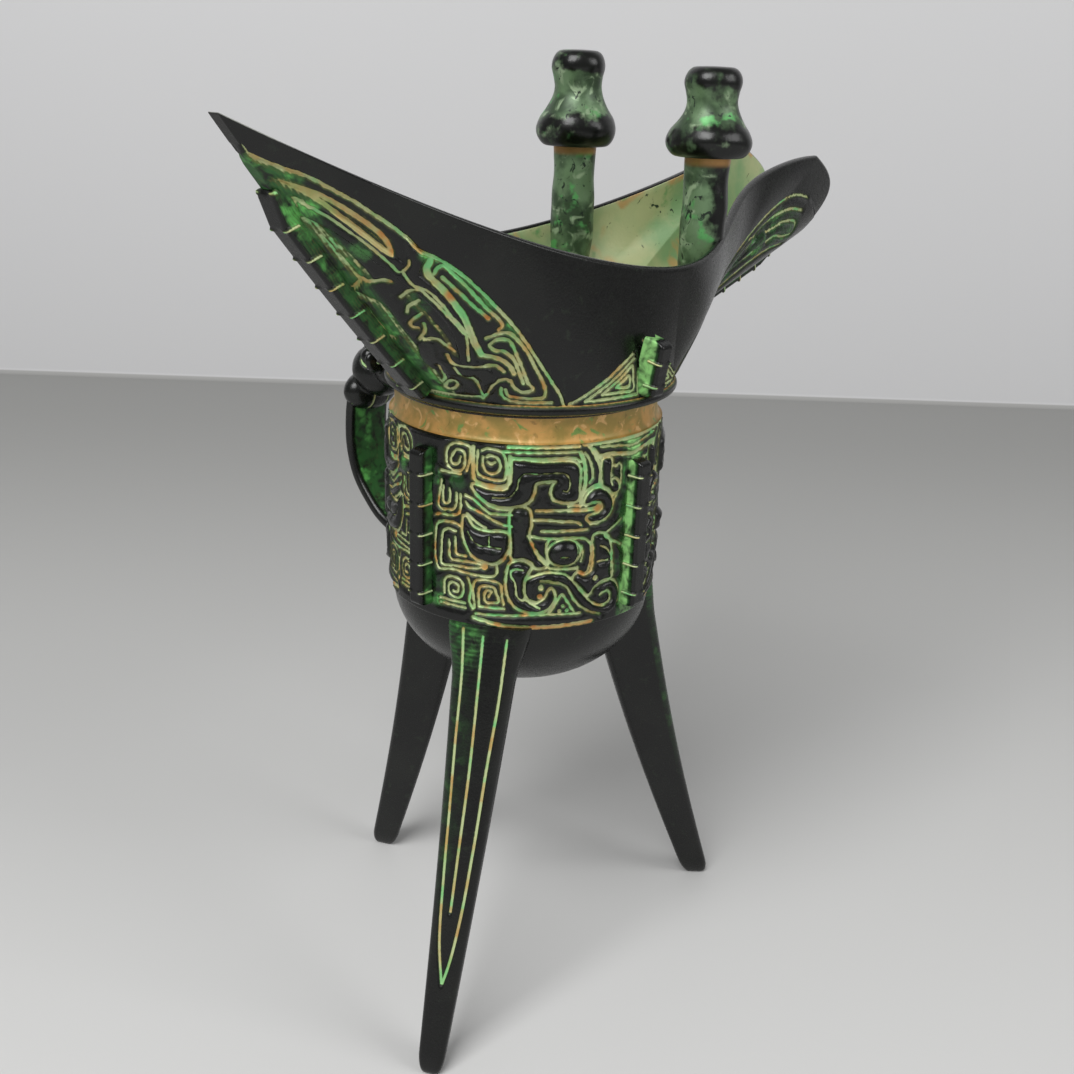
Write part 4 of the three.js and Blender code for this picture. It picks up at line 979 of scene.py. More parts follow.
SPOUT_EDGE = [(15, 152.5), (22, 157), (30, 162.5), (40, 167.5), (52, 173), (66, 180), (80, 185.5), (92, 188),
              (99, 187)]
SPOUT_REGION = [*SPOUT_EDGE, (110, 180), (106, 168), (60, 158), (40, 150), (15, 150)]
SPOUT_CUTS = [
    [(21, 153.2), (29, 158.4), (38, 163.6), (50, 169.4), (64, 176.6), (78, 182), (90, 184.4), (97, 183.6)],
    [(27, 153.4), (34, 158), (44, 163.6), (56, 169.4), (68, 175), (72, 178.4), (66, 178.4)],
    [(78, 179.2), (88, 181.2), (95, 180.4), (96, 177.6), (90, 177), (84, 177.6), (80, 176.4)],
    [(33, 154), (38, 157.4), (46, 161.4), (48, 164.4), (44, 165.6)],
    [(52, 163.6), (58, 168), (66, 171.6), (74, 174.4)],
    [(56, 163), (64, 167.4), (74, 171.6), (84, 174.2), (94, 174.6)],
]
SPOUT_STEM = [(31, 154.6), (40, 160.8), (50, 166), (62, 171.4), (74, 176.8), (84, 179.6), (92, 179)]


# %% Make the mouth's quarters
OUTER_ROWS = {"tail": 236, "spout": 200}
INNER_ROWS = 16
RIM_ROWS = 7
RIM_ROUND = 1.1
BEAD_ROWS = 9
BEAD_RADIUS, BEAD_REACH = 1.15, 33.75
TAIL_COLUMNS, TIP_COLUMNS, LIP_COLUMNS, SPOUT_COLUMNS = 340, 6, 90, 300
MOUTH_SPACING = 0.06
LEAF_CUT, FRONT_CUT, FIN_CUT, WIDE_CUT, LOWER_CUT = 0.85, 0.75, 0.7, 1.5, 1.1
STEM_WIDTH, BRANCH_WIDTH, SPOUT_STEM_WIDTH = 3.6, 4.2, 3.0
TAIL_EARTH_REACH, TAIL_BLOOM_REACH, SPOUT_BLOOM_REACH = 1.4, 2.4, 5
BY_FIN = (4, 7.5)
# The rim carries a painted highlight along its lip. At the tail's tip it is also worn pale.
RIM_HIGHLIGHT, TIP_WORN, TIP_WORN_FROM = 1.08, 0.5, (0.82, 0.97)
LEAF_BODY_RISE, LEAF_GROUND_RISE, LEAF_CUT_DEPTH = 0.5, 0.2, 0.5


def surface_normals(points):
    """Outward direction at each point of a grid of rows and columns."""
    across, up = np.gradient(points, axis=1), np.gradient(points, axis=0)
    normal = np.cross(across, up)
    return normal / np.maximum(np.linalg.norm(normal, axis=-1, keepdims=True), 1e-9)


def mouth_relief(points, side):
    """Lift and patina on the outer wall for one side, which is the tail's or the spout's."""
    solid = points.reshape(-1, 3)
    flat = solid[:, [0, 2]]
    spans = {"tail": (SEAM_T - 0.02, 1.0), "spout": (-1.9, SEAM_T + 0.02)}
    made = Relief(flat, wall_lift(*spans[side]), solid, MOUTH_SPACING)
    if side == "tail":
        made.cuts(TAIL_FIN_LINES + TAIL_SPIKES, FIN_CUT)
        made.ridges([TAIL_STEM, TAIL_HORN], STEM_WIDTH)
        made.ridges([TAIL_BRANCH], BRANCH_WIDTH)
        made.gap = np.maximum(made.gap, made.body)
        made.cuts([TAIL_WIDE_CUT], WIDE_CUT)
        made.cuts([TAIL_LOWER_CUT], LOWER_CUT)
        made.cuts([LEAF_EDGE] + TAIL_CUTS, LEAF_CUT)
        made.cuts([FRONT_EDGE] + FRONT_CUTS, FRONT_CUT)
        wedge = made.signed(TAIL_WEDGE, 4)
        made.gap = np.minimum(made.gap, np.maximum(-wedge, 0.45 * np.cos(wedge * WEDGE_RIPPLE) - 0.3))
        made.ochre = made.tint(0.45 * ramp(wedge, -0.3, 0.4), TAIL_EARTH, TAIL_EARTH_REACH)
        made.bloom = made.tint(made.bloom, TAIL_BLOOM, TAIL_BLOOM_REACH)
        region = inside(flat, np.array(LEAF_REGION)) | inside(flat, np.array(FRONT_REGION))
    else:
        made.ridges([SPOUT_STEM], SPOUT_STEM_WIDTH)
        made.cuts([SPOUT_EDGE] + SPOUT_CUTS, LEAF_CUT)
        made.cuts([front_mirrored(path) for path in [FRONT_EDGE] + FRONT_CUTS], FRONT_CUT)
        made.bloom = made.tint(made.bloom, SPOUT_STEM, SPOUT_BLOOM_REACH)
        front = np.array(FRONT_REGION)
        region = inside(flat, np.array(SPOUT_REGION)) | inside(flat, front * (-1, 1) + (2 * NECK_SHIFT, 0))
    made.uneven()
    plain = np.where(region, 0.0, 1.0)
    value = np.maximum(made.value(), plain * (1 - made.cut()))
    if side == "tail":
        fin = wall(np.full(FIN_SAMPLES, 1.0), np.linspace(0, FIN_TOP_SHARE, FIN_SAMPLES))
        from_fin = nearest(solid, fin)
        by_fin = (1 - ramp(from_fin, *BY_FIN)) * (1 - plain)
        value *= 1 - by_fin * (FIN_DULL + FIN_STREAK * np.cos(from_fin * 2 * math.pi / FIN_STRIATION))
        made.bloom = np.maximum(made.bloom, by_fin)
    rise = LEAF_BODY_RISE * made.body + LEAF_GROUND_RISE * ramp(made.gap, 0, 1.2)
    lift = rise * (1 - plain) - LEAF_CUT_DEPTH * made.cut()
    shape = points.shape[:2]
    return [part.reshape(shape) for part in (lift, value, made.ochre, made.bloom * (1 - plain))]


def mouth_columns(side):
    """Stations of one side's columns, evenly spaced along the rim."""
    if side == "tail":
        tail = np.linspace(SEAM_T, 1, TAIL_COLUMNS // COARSE)
        return np.concatenate((tail, np.linspace(1, 1.1, TIP_COLUMNS)[1:]))
    lip = -2 + np.linspace(0, 1, LIP_COLUMNS // COARSE) ** 1.2
    return np.concatenate((lip, np.linspace(-1, SEAM_T, SPOUT_COLUMNS // COARSE)[1:]))


def mouth_quarter(side):
    """Rows of points round the wall's section, with their patina values and finishes."""
    t = mouth_columns(side)
    rows = OUTER_ROWS[side] // COARSE
    length = np.linalg.norm(wall(t, 1.0) - wall(t, 0.0), axis=-1)
    top = 1 - RIM_ROUND / length
    share = np.linspace(0, 1, rows)[:, None]
    outer = wall(np.repeat(t[None], rows, 0), share * top)
    lift, value, ochre, bloom = mouth_relief(outer, side)
    outer = outer + surface_normals(outer) * lift[..., None]
    inner_share = np.linspace(1, 0, INNER_ROWS)[:, None]
    inner = wall(np.repeat(t[None], INNER_ROWS, 0), inner_share * top, WALL)
    middle, half = (outer[-1] + inner[0]) / 2, (outer[-1] - inner[0]) / 2
    along = wall(t, 1.0) - wall(t, 0.98)
    along /= np.linalg.norm(along, axis=-1, keepdims=True)
    turn = np.linspace(0, math.pi, RIM_ROWS + 2)[1:-1, None, None]
    rim = middle + half * np.cos(turn) + along * RIM_ROUND * np.sin(turn)
    angle = station(t)[0]
    swing = np.linspace(-math.pi / 2, math.pi / 2, BEAD_ROWS)[:, None]
    bead_radius = BEAD_REACH - BEAD_RADIUS + BEAD_RADIUS * np.cos(swing)
    bead = polar(bead_radius, angle, SEAT_Z + BEAD_RADIUS + BEAD_RADIUS * np.sin(swing), NECK_SHIFT)
    seat = polar(BOWL_RADIUS + NECK_SHIFT, angle, SEAT_Z, NECK_SHIFT)[None]
    points = np.concatenate((bead, outer, rim, inner, seat))
    plain = np.ones((1, len(t)))
    bead_value = 0.12 + 0.9 * np.cos(swing) ** 4
    # Rim rows: a painted highlight along the lip, with wear added towards the tail's tip.
    wear_and_highlight = plain * (RIM_HIGHLIGHT + TIP_WORN * ramp(t, *TIP_WORN_FROM))
    relief = np.concatenate((bead_value * plain, value, np.repeat(wear_and_highlight, RIM_ROWS, 0),
                             np.repeat(plain, INNER_ROWS + 1, 0)))
    no_patina = np.zeros((RIM_ROWS + INNER_ROWS + 1, len(t)))
    earth = np.concatenate((np.repeat(0.85 * plain, BEAD_ROWS, 0), ochre, no_patina))
    green = np.concatenate((np.repeat(0 * plain, BEAD_ROWS, 0), bloom, no_patina))
    inside_from = BEAD_ROWS + rows + RIM_ROWS - 1
    finish = np.repeat(np.arange(len(points)) >= inside_from, len(t) - 1).astype(int).tolist() + [0, 0]
    return points, (relief, earth, green), finish


for side in ("tail", "spout"):
    points, patina, finish = mouth_quarter(side)
    for face, flip in (("handle", 1), ("front", -1)):
        make_piece(f"mouth_{side}_{face}", points * (1, flip, 1), wall_faces(points), [BRONZE, INSIDE],
                   ["mouth"], dict(zip(PATINA_KEYS, patina)), finish)

# %% [markdown]
# ## Legs
# Each leg is a bowed blade: a broad outer face with rounded edges and three incised lines, flat
# sides and a narrow inner edge. It is lofted from sections up its height, dense across the face, and
# its top ends inside the cup's wall, clear of the bowl.

# %% Loft the legs
LEG_TOP_REACH = CUP_RADIUS - 0.7
LEG_HEIGHT = 104.0
LEG_VISIBLE_TOP = 101.4
LEG_TOP_WIDTH, LEG_TOP_DEPTH, LEG_FOOT_WIDTH, LEG_FOOT_DEPTH = 16.5, 16.4, 5.95, 7.2
LEG_BOW = 1.8
LEG_TIP_ROUND = 5.0
LEG_FLARE = 1.7
OUTSIDE_BOWL = 1.0
LEG_FLARE_Z = (88, 101)
LEG_LINE_EDGE = (0.2, 0.62)
LEG_EDGE_DROP, LEG_FACE_BOW = 0.2, 0.02
LEG_BACK_NARROWING = 0.84
FACE_POINTS, LEG_SIDE_POINTS, LEG_ROWS = 72, 14, 200
LEG_LINE_DEPTH, RIPPLE_PITCH, RIPPLE_DEPTH = 0.45, 1.15, 0.16
LEG_LINE_REACH = (3.0, 8.25)
LEG_LINES = [[(-0.66, 100), (-0.6, 90), (-0.62, 75), (-0.6, 60), (-0.56, 45), (-0.4, 30), (0.02, 21)],
             [(-0.06, 99), (-0.03, 85), (0.0, 70), (-0.02, 52), (-0.03, 37)],
             [(0.64, 99), (0.66, 85), (0.6, 70), (0.58, 52), (0.5, 36), (0.3, 26), (0.06, 21)]]


def leg_sections(foot_x, foot_y, turn):
    """Rows of a leg's section up its height, and its patina values."""
    z = np.concatenate((np.linspace(0, LEG_TIP_ROUND, 10)[:-1],
                        np.linspace(LEG_TIP_ROUND, LEG_VISIBLE_TOP, LEG_ROWS // COARSE)))
    share = z / LEG_HEIGHT
    tip = lerp(0.5, 1, np.sqrt(np.clip(1 - (1 - np.minimum(1, z / LEG_TIP_ROUND)) ** 2, 0, 1)))
    half = (tip * lerp(LEG_FOOT_WIDTH, LEG_TOP_WIDTH, share) / 2 + LEG_FLARE * ramp(z, *LEG_FLARE_Z))[:, None]
    depth = (tip * lerp(LEG_FOOT_DEPTH, LEG_TOP_DEPTH, share))[:, None]
    foot_reach = math.hypot(foot_x, foot_y)
    face = lerp(foot_reach + tip * LEG_FOOT_DEPTH / 2, LEG_TOP_REACH, share)
    face = (face - LEG_BOW * np.sin(math.pi * share))[:, None]
    across = np.linspace(-1, 1, FACE_POINTS)[None]
    rounded = 1 - (1 - np.abs(across) ** 5) ** (1 / 2.4)
    inward = depth * LEG_EDGE_DROP * rounded + depth * LEG_FACE_BOW * across**2
    drawn = [[(a * lerp(*LEG_LINE_REACH, y / LEG_HEIGHT), y) for a, y in line] for line in LEG_LINES]
    lines = [curve_through(line, 0.2) for line in drawn]
    flat = np.stack((across * half, z[:, None] + 0 * across), -1).reshape(-1, 2)
    gap = nearest(flat, np.vstack(lines)).reshape(inward.shape)
    cut = 1 - ramp(gap, *LEG_LINE_EDGE)
    ripple = 0.5 + 0.5 * np.sin(2 * math.pi * z / RIPPLE_PITCH)[:, None]
    upper = ramp(z, 80, 97)[:, None] * ramp(-across, -0.45, 0.25)
    inward = inward + LEG_LINE_DEPTH * cut + RIPPLE_DEPTH * ripple * upper
    side = np.linspace(0, 1, LEG_SIDE_POINTS)[None, 1:-1]
    back = face - depth * lerp(LEG_EDGE_DROP, 1, side)
    back_half = half * (1 - LEG_BACK_NARROWING * side**1.15)
    x = np.concatenate((face - inward, back, face - depth * np.ones((1, 2)), back[:, ::-1]), 1)
    bowl_share = np.clip((BAND_LOW_Z - z) / (BOWL_DEPTH - CUP_WALL), 0, 1)
    in_wall = np.where(bowl_share < 1, BOWL_RADIUS * np.sqrt(1 - bowl_share**2) + OUTSIDE_BOWL, 0)
    x = np.maximum(x, in_wall[:, None])
    edge = half * 0.12
    y = np.concatenate((half * across, back_half, edge * np.array([[1, -1]]), -back_half[:, ::-1]), 1)
    y = y + (LEG_TOP_REACH * math.sin(turn) * share)[:, None]
    left = ramp(-across, -0.3, 0.7)
    breaks = (patch_wave(z) > 0.4)[:, None]
    value = (1 - cut) * (1 - 0.5 * upper * ripple)
    earth = 0.9 * ramp(z, 98, 101)[:, None] * left + 0.5 * cut * breaks
    bloom = np.maximum(0.9 * ramp(z, 84, 98)[:, None] * left, 0.35 * ramp(z, 20, 60)[:, None] * left)
    plain = np.ones((len(z), x.shape[1] - FACE_POINTS))
    patina = [np.concatenate((part, fill * plain), 1) for part, fill in ((value, 1), (earth, 0), (bloom, 0))]
    return facing(math.atan2(foot_y, foot_x), x, y, z[:, None]), patina


def patch_wave(z):
    """A slow wave that breaks the earth in the cuts into stretches."""
    return np.sin(z * 0.31) * np.sin(z * 0.12 + 1)


LEG_TURN = math.radians(3.7)
for name, foot_x, foot_y, turn in (("leg_handle_side", 0, 51, 0), ("leg_tail_side", -53, -24, LEG_TURN),
                                   ("leg_spout_side", 53, -24, -LEG_TURN)):
    points, patina = leg_sections(foot_x, foot_y, turn)
    make_piece(name + "_blade", points, tube_faces(points), [BRONZE], [name],
               dict(zip(PATINA_KEYS, patina)))

# %% [markdown]
# ## Posts and caps
# A post is a round stem whose foot runs out into the wall it is cast onto, and a bell-shaped cap with
# a full rim, a drawn-in waist and a blunt head. Both are turned, and slow noise makes them as uneven
# as a hand-finished casting.

# %% Turn the posts and caps
POST_X, POST_Y, POST_RADIUS = 38.0, 19.8, 5.4
POST_TOP_Z = SADDLE_Z + 21
POST_FOOT_Z = SADDLE_Z - 13
ROUND_FACETS = 96
LUMP_SIZE, LUMP_HEIGHT = 6, 0.35


def lumpy(points, seed):
    """Moves points in and out from their own middle line by slow noise."""
    moved = points.copy()
    flat = moved.reshape(-1, 3)
    middle = flat.mean(0)
    for i, point in enumerate(flat):
        wave = noise.noise(Vector(point / LUMP_SIZE) + Vector((seed, 0, 0)))
        outward = point - middle
        outward[2] = 0
        length = np.linalg.norm(outward)
        if length > 1:
            flat[i] = point + outward / length * wave * LUMP_HEIGHT
    return moved


def profile_through(points):
    """A smooth profile that stays clear of the axis."""
    made = curve_through(points, 0.3)
    made[:, 0] = np.maximum(made[:, 0], 0.02)
    return made


def turned_piece(name, profile, side, node, rubbed, earth, seed, painted_shade_side=0.0):
    """A turned casting whose rubbed value falls from its spout side to its tail side: painted shade on the
    side turned from the key lamp.
    """
    points = lumpy(turned(profile, ROUND_FACETS) + (POST_X, side * POST_Y, 0), seed)
    turn = np.arange(ROUND_FACETS) / ROUND_FACETS * 2 * math.pi
    # A cosine of the angle makes one side blacker: painted shade on the side turned from the key lamp.
    values = {"relief": rubbed[:, None] + painted_shade_side * np.cos(turn + 0.9)[None],
              "ochre": np.repeat(earth[:, None], ROUND_FACETS, 1)}
    make_piece(name, points, tube_faces(points), [GREEN], [node], values)


post_profile = profile_through([
    (0.02, POST_FOOT_Z), (1.5, POST_FOOT_Z + 0.2), (2.6, POST_FOOT_Z + 1.2), (4.2, POST_FOOT_Z + 4),
    (5.0, POST_FOOT_Z + 8), (POST_RADIUS, POST_FOOT_Z + 12),
    (POST_RADIUS - 0.1, POST_FOOT_Z + 22), (POST_RADIUS - 0.2, POST_TOP_Z - 3),
    (POST_RADIUS - 0.1, POST_TOP_Z)])
post_height = post_profile[:, 1]
post_ring = 0.9 * ramp(post_height, POST_TOP_Z - 2.2, POST_TOP_Z - 0.8)
for name, side, rubbed, painted_shade_side in (("post_handle_side", 1, 0.3, 0.12), ("post_front", -1, 0.5, 0.38)):
    turned_piece(name + "_stem", post_profile, side, name, np.full(len(post_height), rubbed), post_ring,
                 side * 3 + 5, painted_shade_side)


def cap_profile(height):
    """A bell: full rim, drawn-in waist, blunt head. Shares of the height from the CAD levels."""
    shape = [(8.0, 0.016), (9.5, 0.1), (9.9, 0.19), (9.2, 0.29), (7.5, 0.4), (6.2, 0.52), (5.8, 0.62),
             (6.1, 0.72), (6.6, 0.82), (6.4, 0.89), (5.7, 0.95), (4.7, 0.985)]
    bell = [(radius, share * height) for radius, share in shape]
    return profile_through([(0.02, 0), (5.6, 0.1), *bell, (2.2, height - 0.05), (0.02, height)])


for name, side, height, waist in (("post_cap_handle_side", 1, 22.4, 0.5),
                                  ("post_cap_front", -1, 19.6, 0.36)):
    profile = cap_profile(height)
    share = profile[:, 1] / height
    green_waist = ramp(share, 0.26, 0.42) * (1 - ramp(share, 0.72, 0.84))
    profile[:, 1] += POST_TOP_Z
    turned_piece(name + "_bell", profile, side, name, 0.8 - waist * green_waist, 0 * share,
                 side * 7 + 20, 0.12)

# %% [markdown]
# ## Handle
# The strap leaves the cup under the mouth's ridge, bends down and comes back to the top of the leg.
# A rounded section is swept along its middle line. The beast head over the upper bend is modelled
# as a sculptor works: balls of clay joined by a voxel remesh and smoothed, with its eyes, snout and
# jaw cut in at the end.

# %% Sweep the strap
STRAP_WIDTH, STRAP_THICK = 13.0, 3.6
STRAP_MIDDLE = [(28.8, 146.2), (42.6, 146.24), (53.09, 141.62), (56.4, 126.65), (54.19, 116.3),
                (49.22, 109.87), (43.98, 105.74), (28.8, 101)]
SECTION_POINTS = 44
strap_line = curve_through(STRAP_MIDDLE, 0.35 * COARSE)
ahead = np.gradient(strap_line, axis=0)
ahead /= np.linalg.norm(ahead, axis=1, keepdims=True)
outward = np.stack((-ahead[:, 1], ahead[:, 0]), -1)
around = np.linspace(0, 2 * math.pi, SECTION_POINTS, endpoint=False)
across = np.sign(np.cos(around)) * np.abs(np.cos(around)) ** 0.45 * STRAP_WIDTH / 2
bulge = np.sign(np.sin(around)) * np.abs(np.sin(around)) ** 0.7 * STRAP_THICK / 2
points = np.stack((np.repeat(across[None], len(strap_line), 0), strap_line[:, :1] + outward[:, :1] * bulge,
                   strap_line[:, 1:] + outward[:, 1:] * bulge), -1)
inner_face = ramp(-bulge, 0.2, 1.5) * (1 - ramp(np.abs(across), 4.6, 5.8))
# The strap's edges are lifted above 1: a painted highlight along them.
painted_highlight_edge = ramp(np.abs(across), 5.6, 6.3)
value = np.repeat((1 - 0.5 * inner_face + 0.12 * painted_highlight_edge)[None], len(points), 0)
make_piece("handle_strap_band", points, tube_faces(points), [BRONZE], ["handle_strap"],
           {"relief": value, "bloom": np.repeat(inner_face[None], len(points), 0)})

# %% Model the beast head
HEAD_VOXEL = 0.32 * COARSE
EYE_X, EYE_Y, EYE_Z, EYE_CUT_RADIUS = 5.6, 48.4, 148.2, 2.7
SNOUT_CUT_X, SNOUT_Y, JAW_Z = 2.6, 53, 136.2
HEAD_MIDDLE = (0, 46, 144.5)
HEAD_CUT_DEPTH = 0.5


def ball(shape, size, place, turn=(0, 0, 0)):
    """Adds an egg of clay: half sizes and middle in millimetres, turned by degrees."""
    move = Matrix.Translation(Vector(place))
    for degrees, axis in zip(turn, "XYZ"):
        move = move @ Matrix.Rotation(math.radians(degrees), 4, axis)
    bmesh.ops.create_icosphere(shape, subdivisions=4, radius=1, matrix=move @ Matrix.Diagonal((*size, 1)))


head = bmesh.new()
ball(head, (8.0, 7.6, 7.0), (0, 41.6, 146.6))
ball(head, (7.4, 7.2, 6.6), (0, 50.4, 143.6), (30, 0, 0))
ball(head, (8.2, 4.7, 5.4), (0, 54.4, 137.8))
ball(head, (2.3, 1.6, 1.4), (0, 57.4, 140.4))
for side in (-1, 1):
    ball(head, (2.1, 2.1, 2.1), (side * EYE_X, EYE_Y, EYE_Z))
    ball(head, (3.2, 1.3, 1.2), (side * 4.9, 47.4, 150.8), (0, side * -16, 0))
    ball(head, (1.3, 0.9, 0.9), (side * 2.2, 57.6, 138.4))
    ball(head, (3.8, 1.6, 2.8), (side * 9.0, 41.6, 148.4), (0, side * -25, 0))
    for share in np.linspace(0, 1, 7):
        place = (side * (4.2 + 2.6 * share + 1.2 * share**2), 40.6 - 1.6 * share,
                 150.4 + 6.6 * share - 1.2 * share**2)
        ball(head, (1.9 - share * 0.9,) * 3, place)
lump = bpy.data.meshes.new("head_clay")
head.to_mesh(lump)
head.free()
clay = put_in_scene("head_clay", lump)
remesh = clay.modifiers.new("join", "REMESH")
remesh.mode = "VOXEL"
remesh.voxel_size = HEAD_VOXEL
smoothing = clay.modifiers.new("smooth", "SMOOTH")
smoothing.iterations = 6
smoothing.factor = 0.5
evaluated = clay.evaluated_get(bpy.context.evaluated_depsgraph_get())
sculpted = bpy.data.meshes.new_from_object(evaluated)
head_points = np.empty(len(sculpted.vertices) * 3)
sculpted.vertices.foreach_get("co", head_points)
head_points = head_points.reshape(-1, 3)
head_faces = [list(face.vertices) for face in sculpted.polygons]
bpy.data.objects.remove(clay)


def head_cuts(points):
    """Cuts round the eyes, along the snout and at the mouth."""
    x, y, z = points.T
    from_eye = np.sqrt((np.abs(x) - EYE_X) ** 2 + (y - EYE_Y) ** 2 + (z - EYE_Z) ** 2)
    eye = np.abs(from_eye - EYE_CUT_RADIUS)
    cut = 1 - ramp(eye, 0.2, 0.6)
    snout = 1 - ramp(np.abs(np.abs(x) - SNOUT_CUT_X), 0.2, 0.55) - ramp(np.abs(y - SNOUT_Y), 3, 5)
    jaw = (1 - ramp(np.abs(z - JAW_Z + 0.03 * x**2), 0.2, 0.6)) * ramp(y, SNOUT_Y, SNOUT_Y + 2)
    return np.clip(np.maximum(np.maximum(cut, snout), jaw), 0, 1)


cut = head_cuts(head_points)
outward_of_head = head_points - np.array(HEAD_MIDDLE)
outward_of_head /= np.linalg.norm(outward_of_head, axis=1, keepdims=True)
head_points = head_points - outward_of_head * (HEAD_CUT_DEPTH * cut)[:, None]
make_piece("handle_beast_head_cast", head_points, head_faces, [BRONZE],
           ["handle_beast_head"], {"relief": np.clip(1 - cut, 0, 1), "bloom": 0.6 * cut})

# %% [markdown]
# ## Flanges
# The flanges stand on the seams of the mould and are notched at even steps. Each starts as a plain
# blade with a rounded edge. Each of its points carries how far along the blade it lies, and whether
# a notch may press it in. A Geometry Nodes tree then presses the notches in and marks them for the
# patina. Its inputs are the real pitch, width and depth, so one tree makes every flange.

# %% The notching tree


def geometry_tree(name, inputs):
    """A Geometry Nodes tree with a geometry input and output and named inputs. Returns their ids too."""
    tree = bpy.data.node_groups.new(name, "GeometryNodeTree")
    tree.interface.new_socket("Geometry", in_out="INPUT", socket_type="NodeSocketGeometry")
    ids = {}
    for label, kind in inputs:
        ids[label] = tree.interface.new_socket(label, in_out="INPUT", socket_type=kind).identifier
    tree.interface.new_socket("Geometry", in_out="OUTPUT", socket_type="NodeSocketGeometry")
    return tree, ids


notching, NOTCH_IDS = geometry_tree("notch_a_flange", [
    ("Pitch", "NodeSocketFloat"), ("Width", "NodeSocketFloat"), ("Depth", "NodeSocketFloat"),
    ("Finish", "NodeSocketMaterial")])
given = add(notching, "NodeGroupInput")
carried_along, carried_notched, carried_relief = [
    add(notching, "GeometryNodeInputNamedAttribute", {"data_type": "FLOAT", "Name": name}).outputs[0]
    for name in ("along", "notched", "relief")]
pitch = given.outputs["Pitch"]
part_of_step = calculate(notching, "FRACT", calculate(notching, "DIVIDE", carried_along, pitch))
from_middle = calculate(notching, "ABSOLUTE", calculate(notching, "SUBTRACT", part_of_step, 0.5))
notch = add(notching, "ShaderNodeMapRange",
            {"interpolation_type": "SMOOTHSTEP", "To Min": 1.0, "To Max": 0.0},
            {"Value": calculate(notching, "MULTIPLY", from_middle, pitch),
             "From Max": given.outputs["Width"]})
pressed = calculate(notching, "MULTIPLY", notch.outputs["Result"], carried_notched)
inwards = calculate(notching, "MULTIPLY", pressed, given.outputs["Depth"])
back = calculate(notching, "MULTIPLY", inwards, -1.0)
shift = add(notching, "ShaderNodeVectorMath", {"operation": "SCALE"},
            {0: add(notching, "GeometryNodeInputNormal").outputs[0], "Scale": back})
moved = add(notching, "GeometryNodeSetPosition", (),
            {"Geometry": given.outputs["Geometry"], "Offset": shift.outputs[0]})
left = calculate(notching, "SUBTRACT", 1.0, pressed)
marked = calculate(notching, "MULTIPLY", left, carried_relief)
stored = add(notching, "GeometryNodeStoreNamedAttribute",
             {"data_type": "FLOAT", "domain": "POINT", "Name": "relief"},
             {"Geometry": moved.outputs[0], "Value": marked})
real = add(notching, "GeometryNodeRealizeInstances", (), {"Geometry": stored.outputs[0]})
dressed = add(notching, "GeometryNodeSetMaterial", (),
              {"Geometry": real.outputs[0], "Material": given.outputs["Finish"]})
add(notching, "NodeGroupOutput", (), {"Geometry": dressed.outputs[0]})
print("notching tree", len(notching.nodes), "nodes")

# %% Blades for the flanges
BLADE_STEP = 0.25 * COARSE
BLADE_END = 1.2
SIDE_POINTS, BEVEL_POINTS, BEVEL_DROP, BEVEL_WIDTH = 31, 5, 0.22, 0.2
NOTCH_WIDTH, NOTCH_DEPTH = 0.62, 0.45
GROOVE_PITCH = 0.2
BODY_PITCH, NECK_PITCH, KEEL_PITCH = 6.9, 5.4, 7.6
BODY_FLANGE_LOW_Z = 104.0
KEEL_PROUD = [3.1] * 9 + [1.1]


def even(path, step_mm):
    """Even steps along a polyline."""
    path = np.array(path, float)
    length = np.concatenate(([0], np.cumsum(np.linalg.norm(np.diff(path, axis=0), axis=1))))
    places = np.linspace(0, length[-1], max(4, round(length[-1] / step_mm)))
    return np.stack([np.interp(places, length, column) for column in path.T], -1), places


def blade_section():
    """Round a blade's section: level is 1 at its edge and below 0 in the wall, side from 1 to -1."""
    bevel = np.linspace(0.2, 1.4, BEVEL_POINTS)
    level = np.concatenate((np.linspace(-0.8, 0.78, SIDE_POINTS), 1 - BEVEL_DROP * (1 - np.sin(bevel))))
    side = np.concatenate((np.linspace(1, 0.9, SIDE_POINTS), 0.9 - BEVEL_WIDTH * (1 - np.cos(bevel))))
    level = np.concatenate((level, np.ones(BEVEL_POINTS), level[::-1], [-0.2]))
    side = np.concatenate((side, np.linspace(0.6, -0.6, BEVEL_POINTS), -side[::-1], [0]))
    return level, side


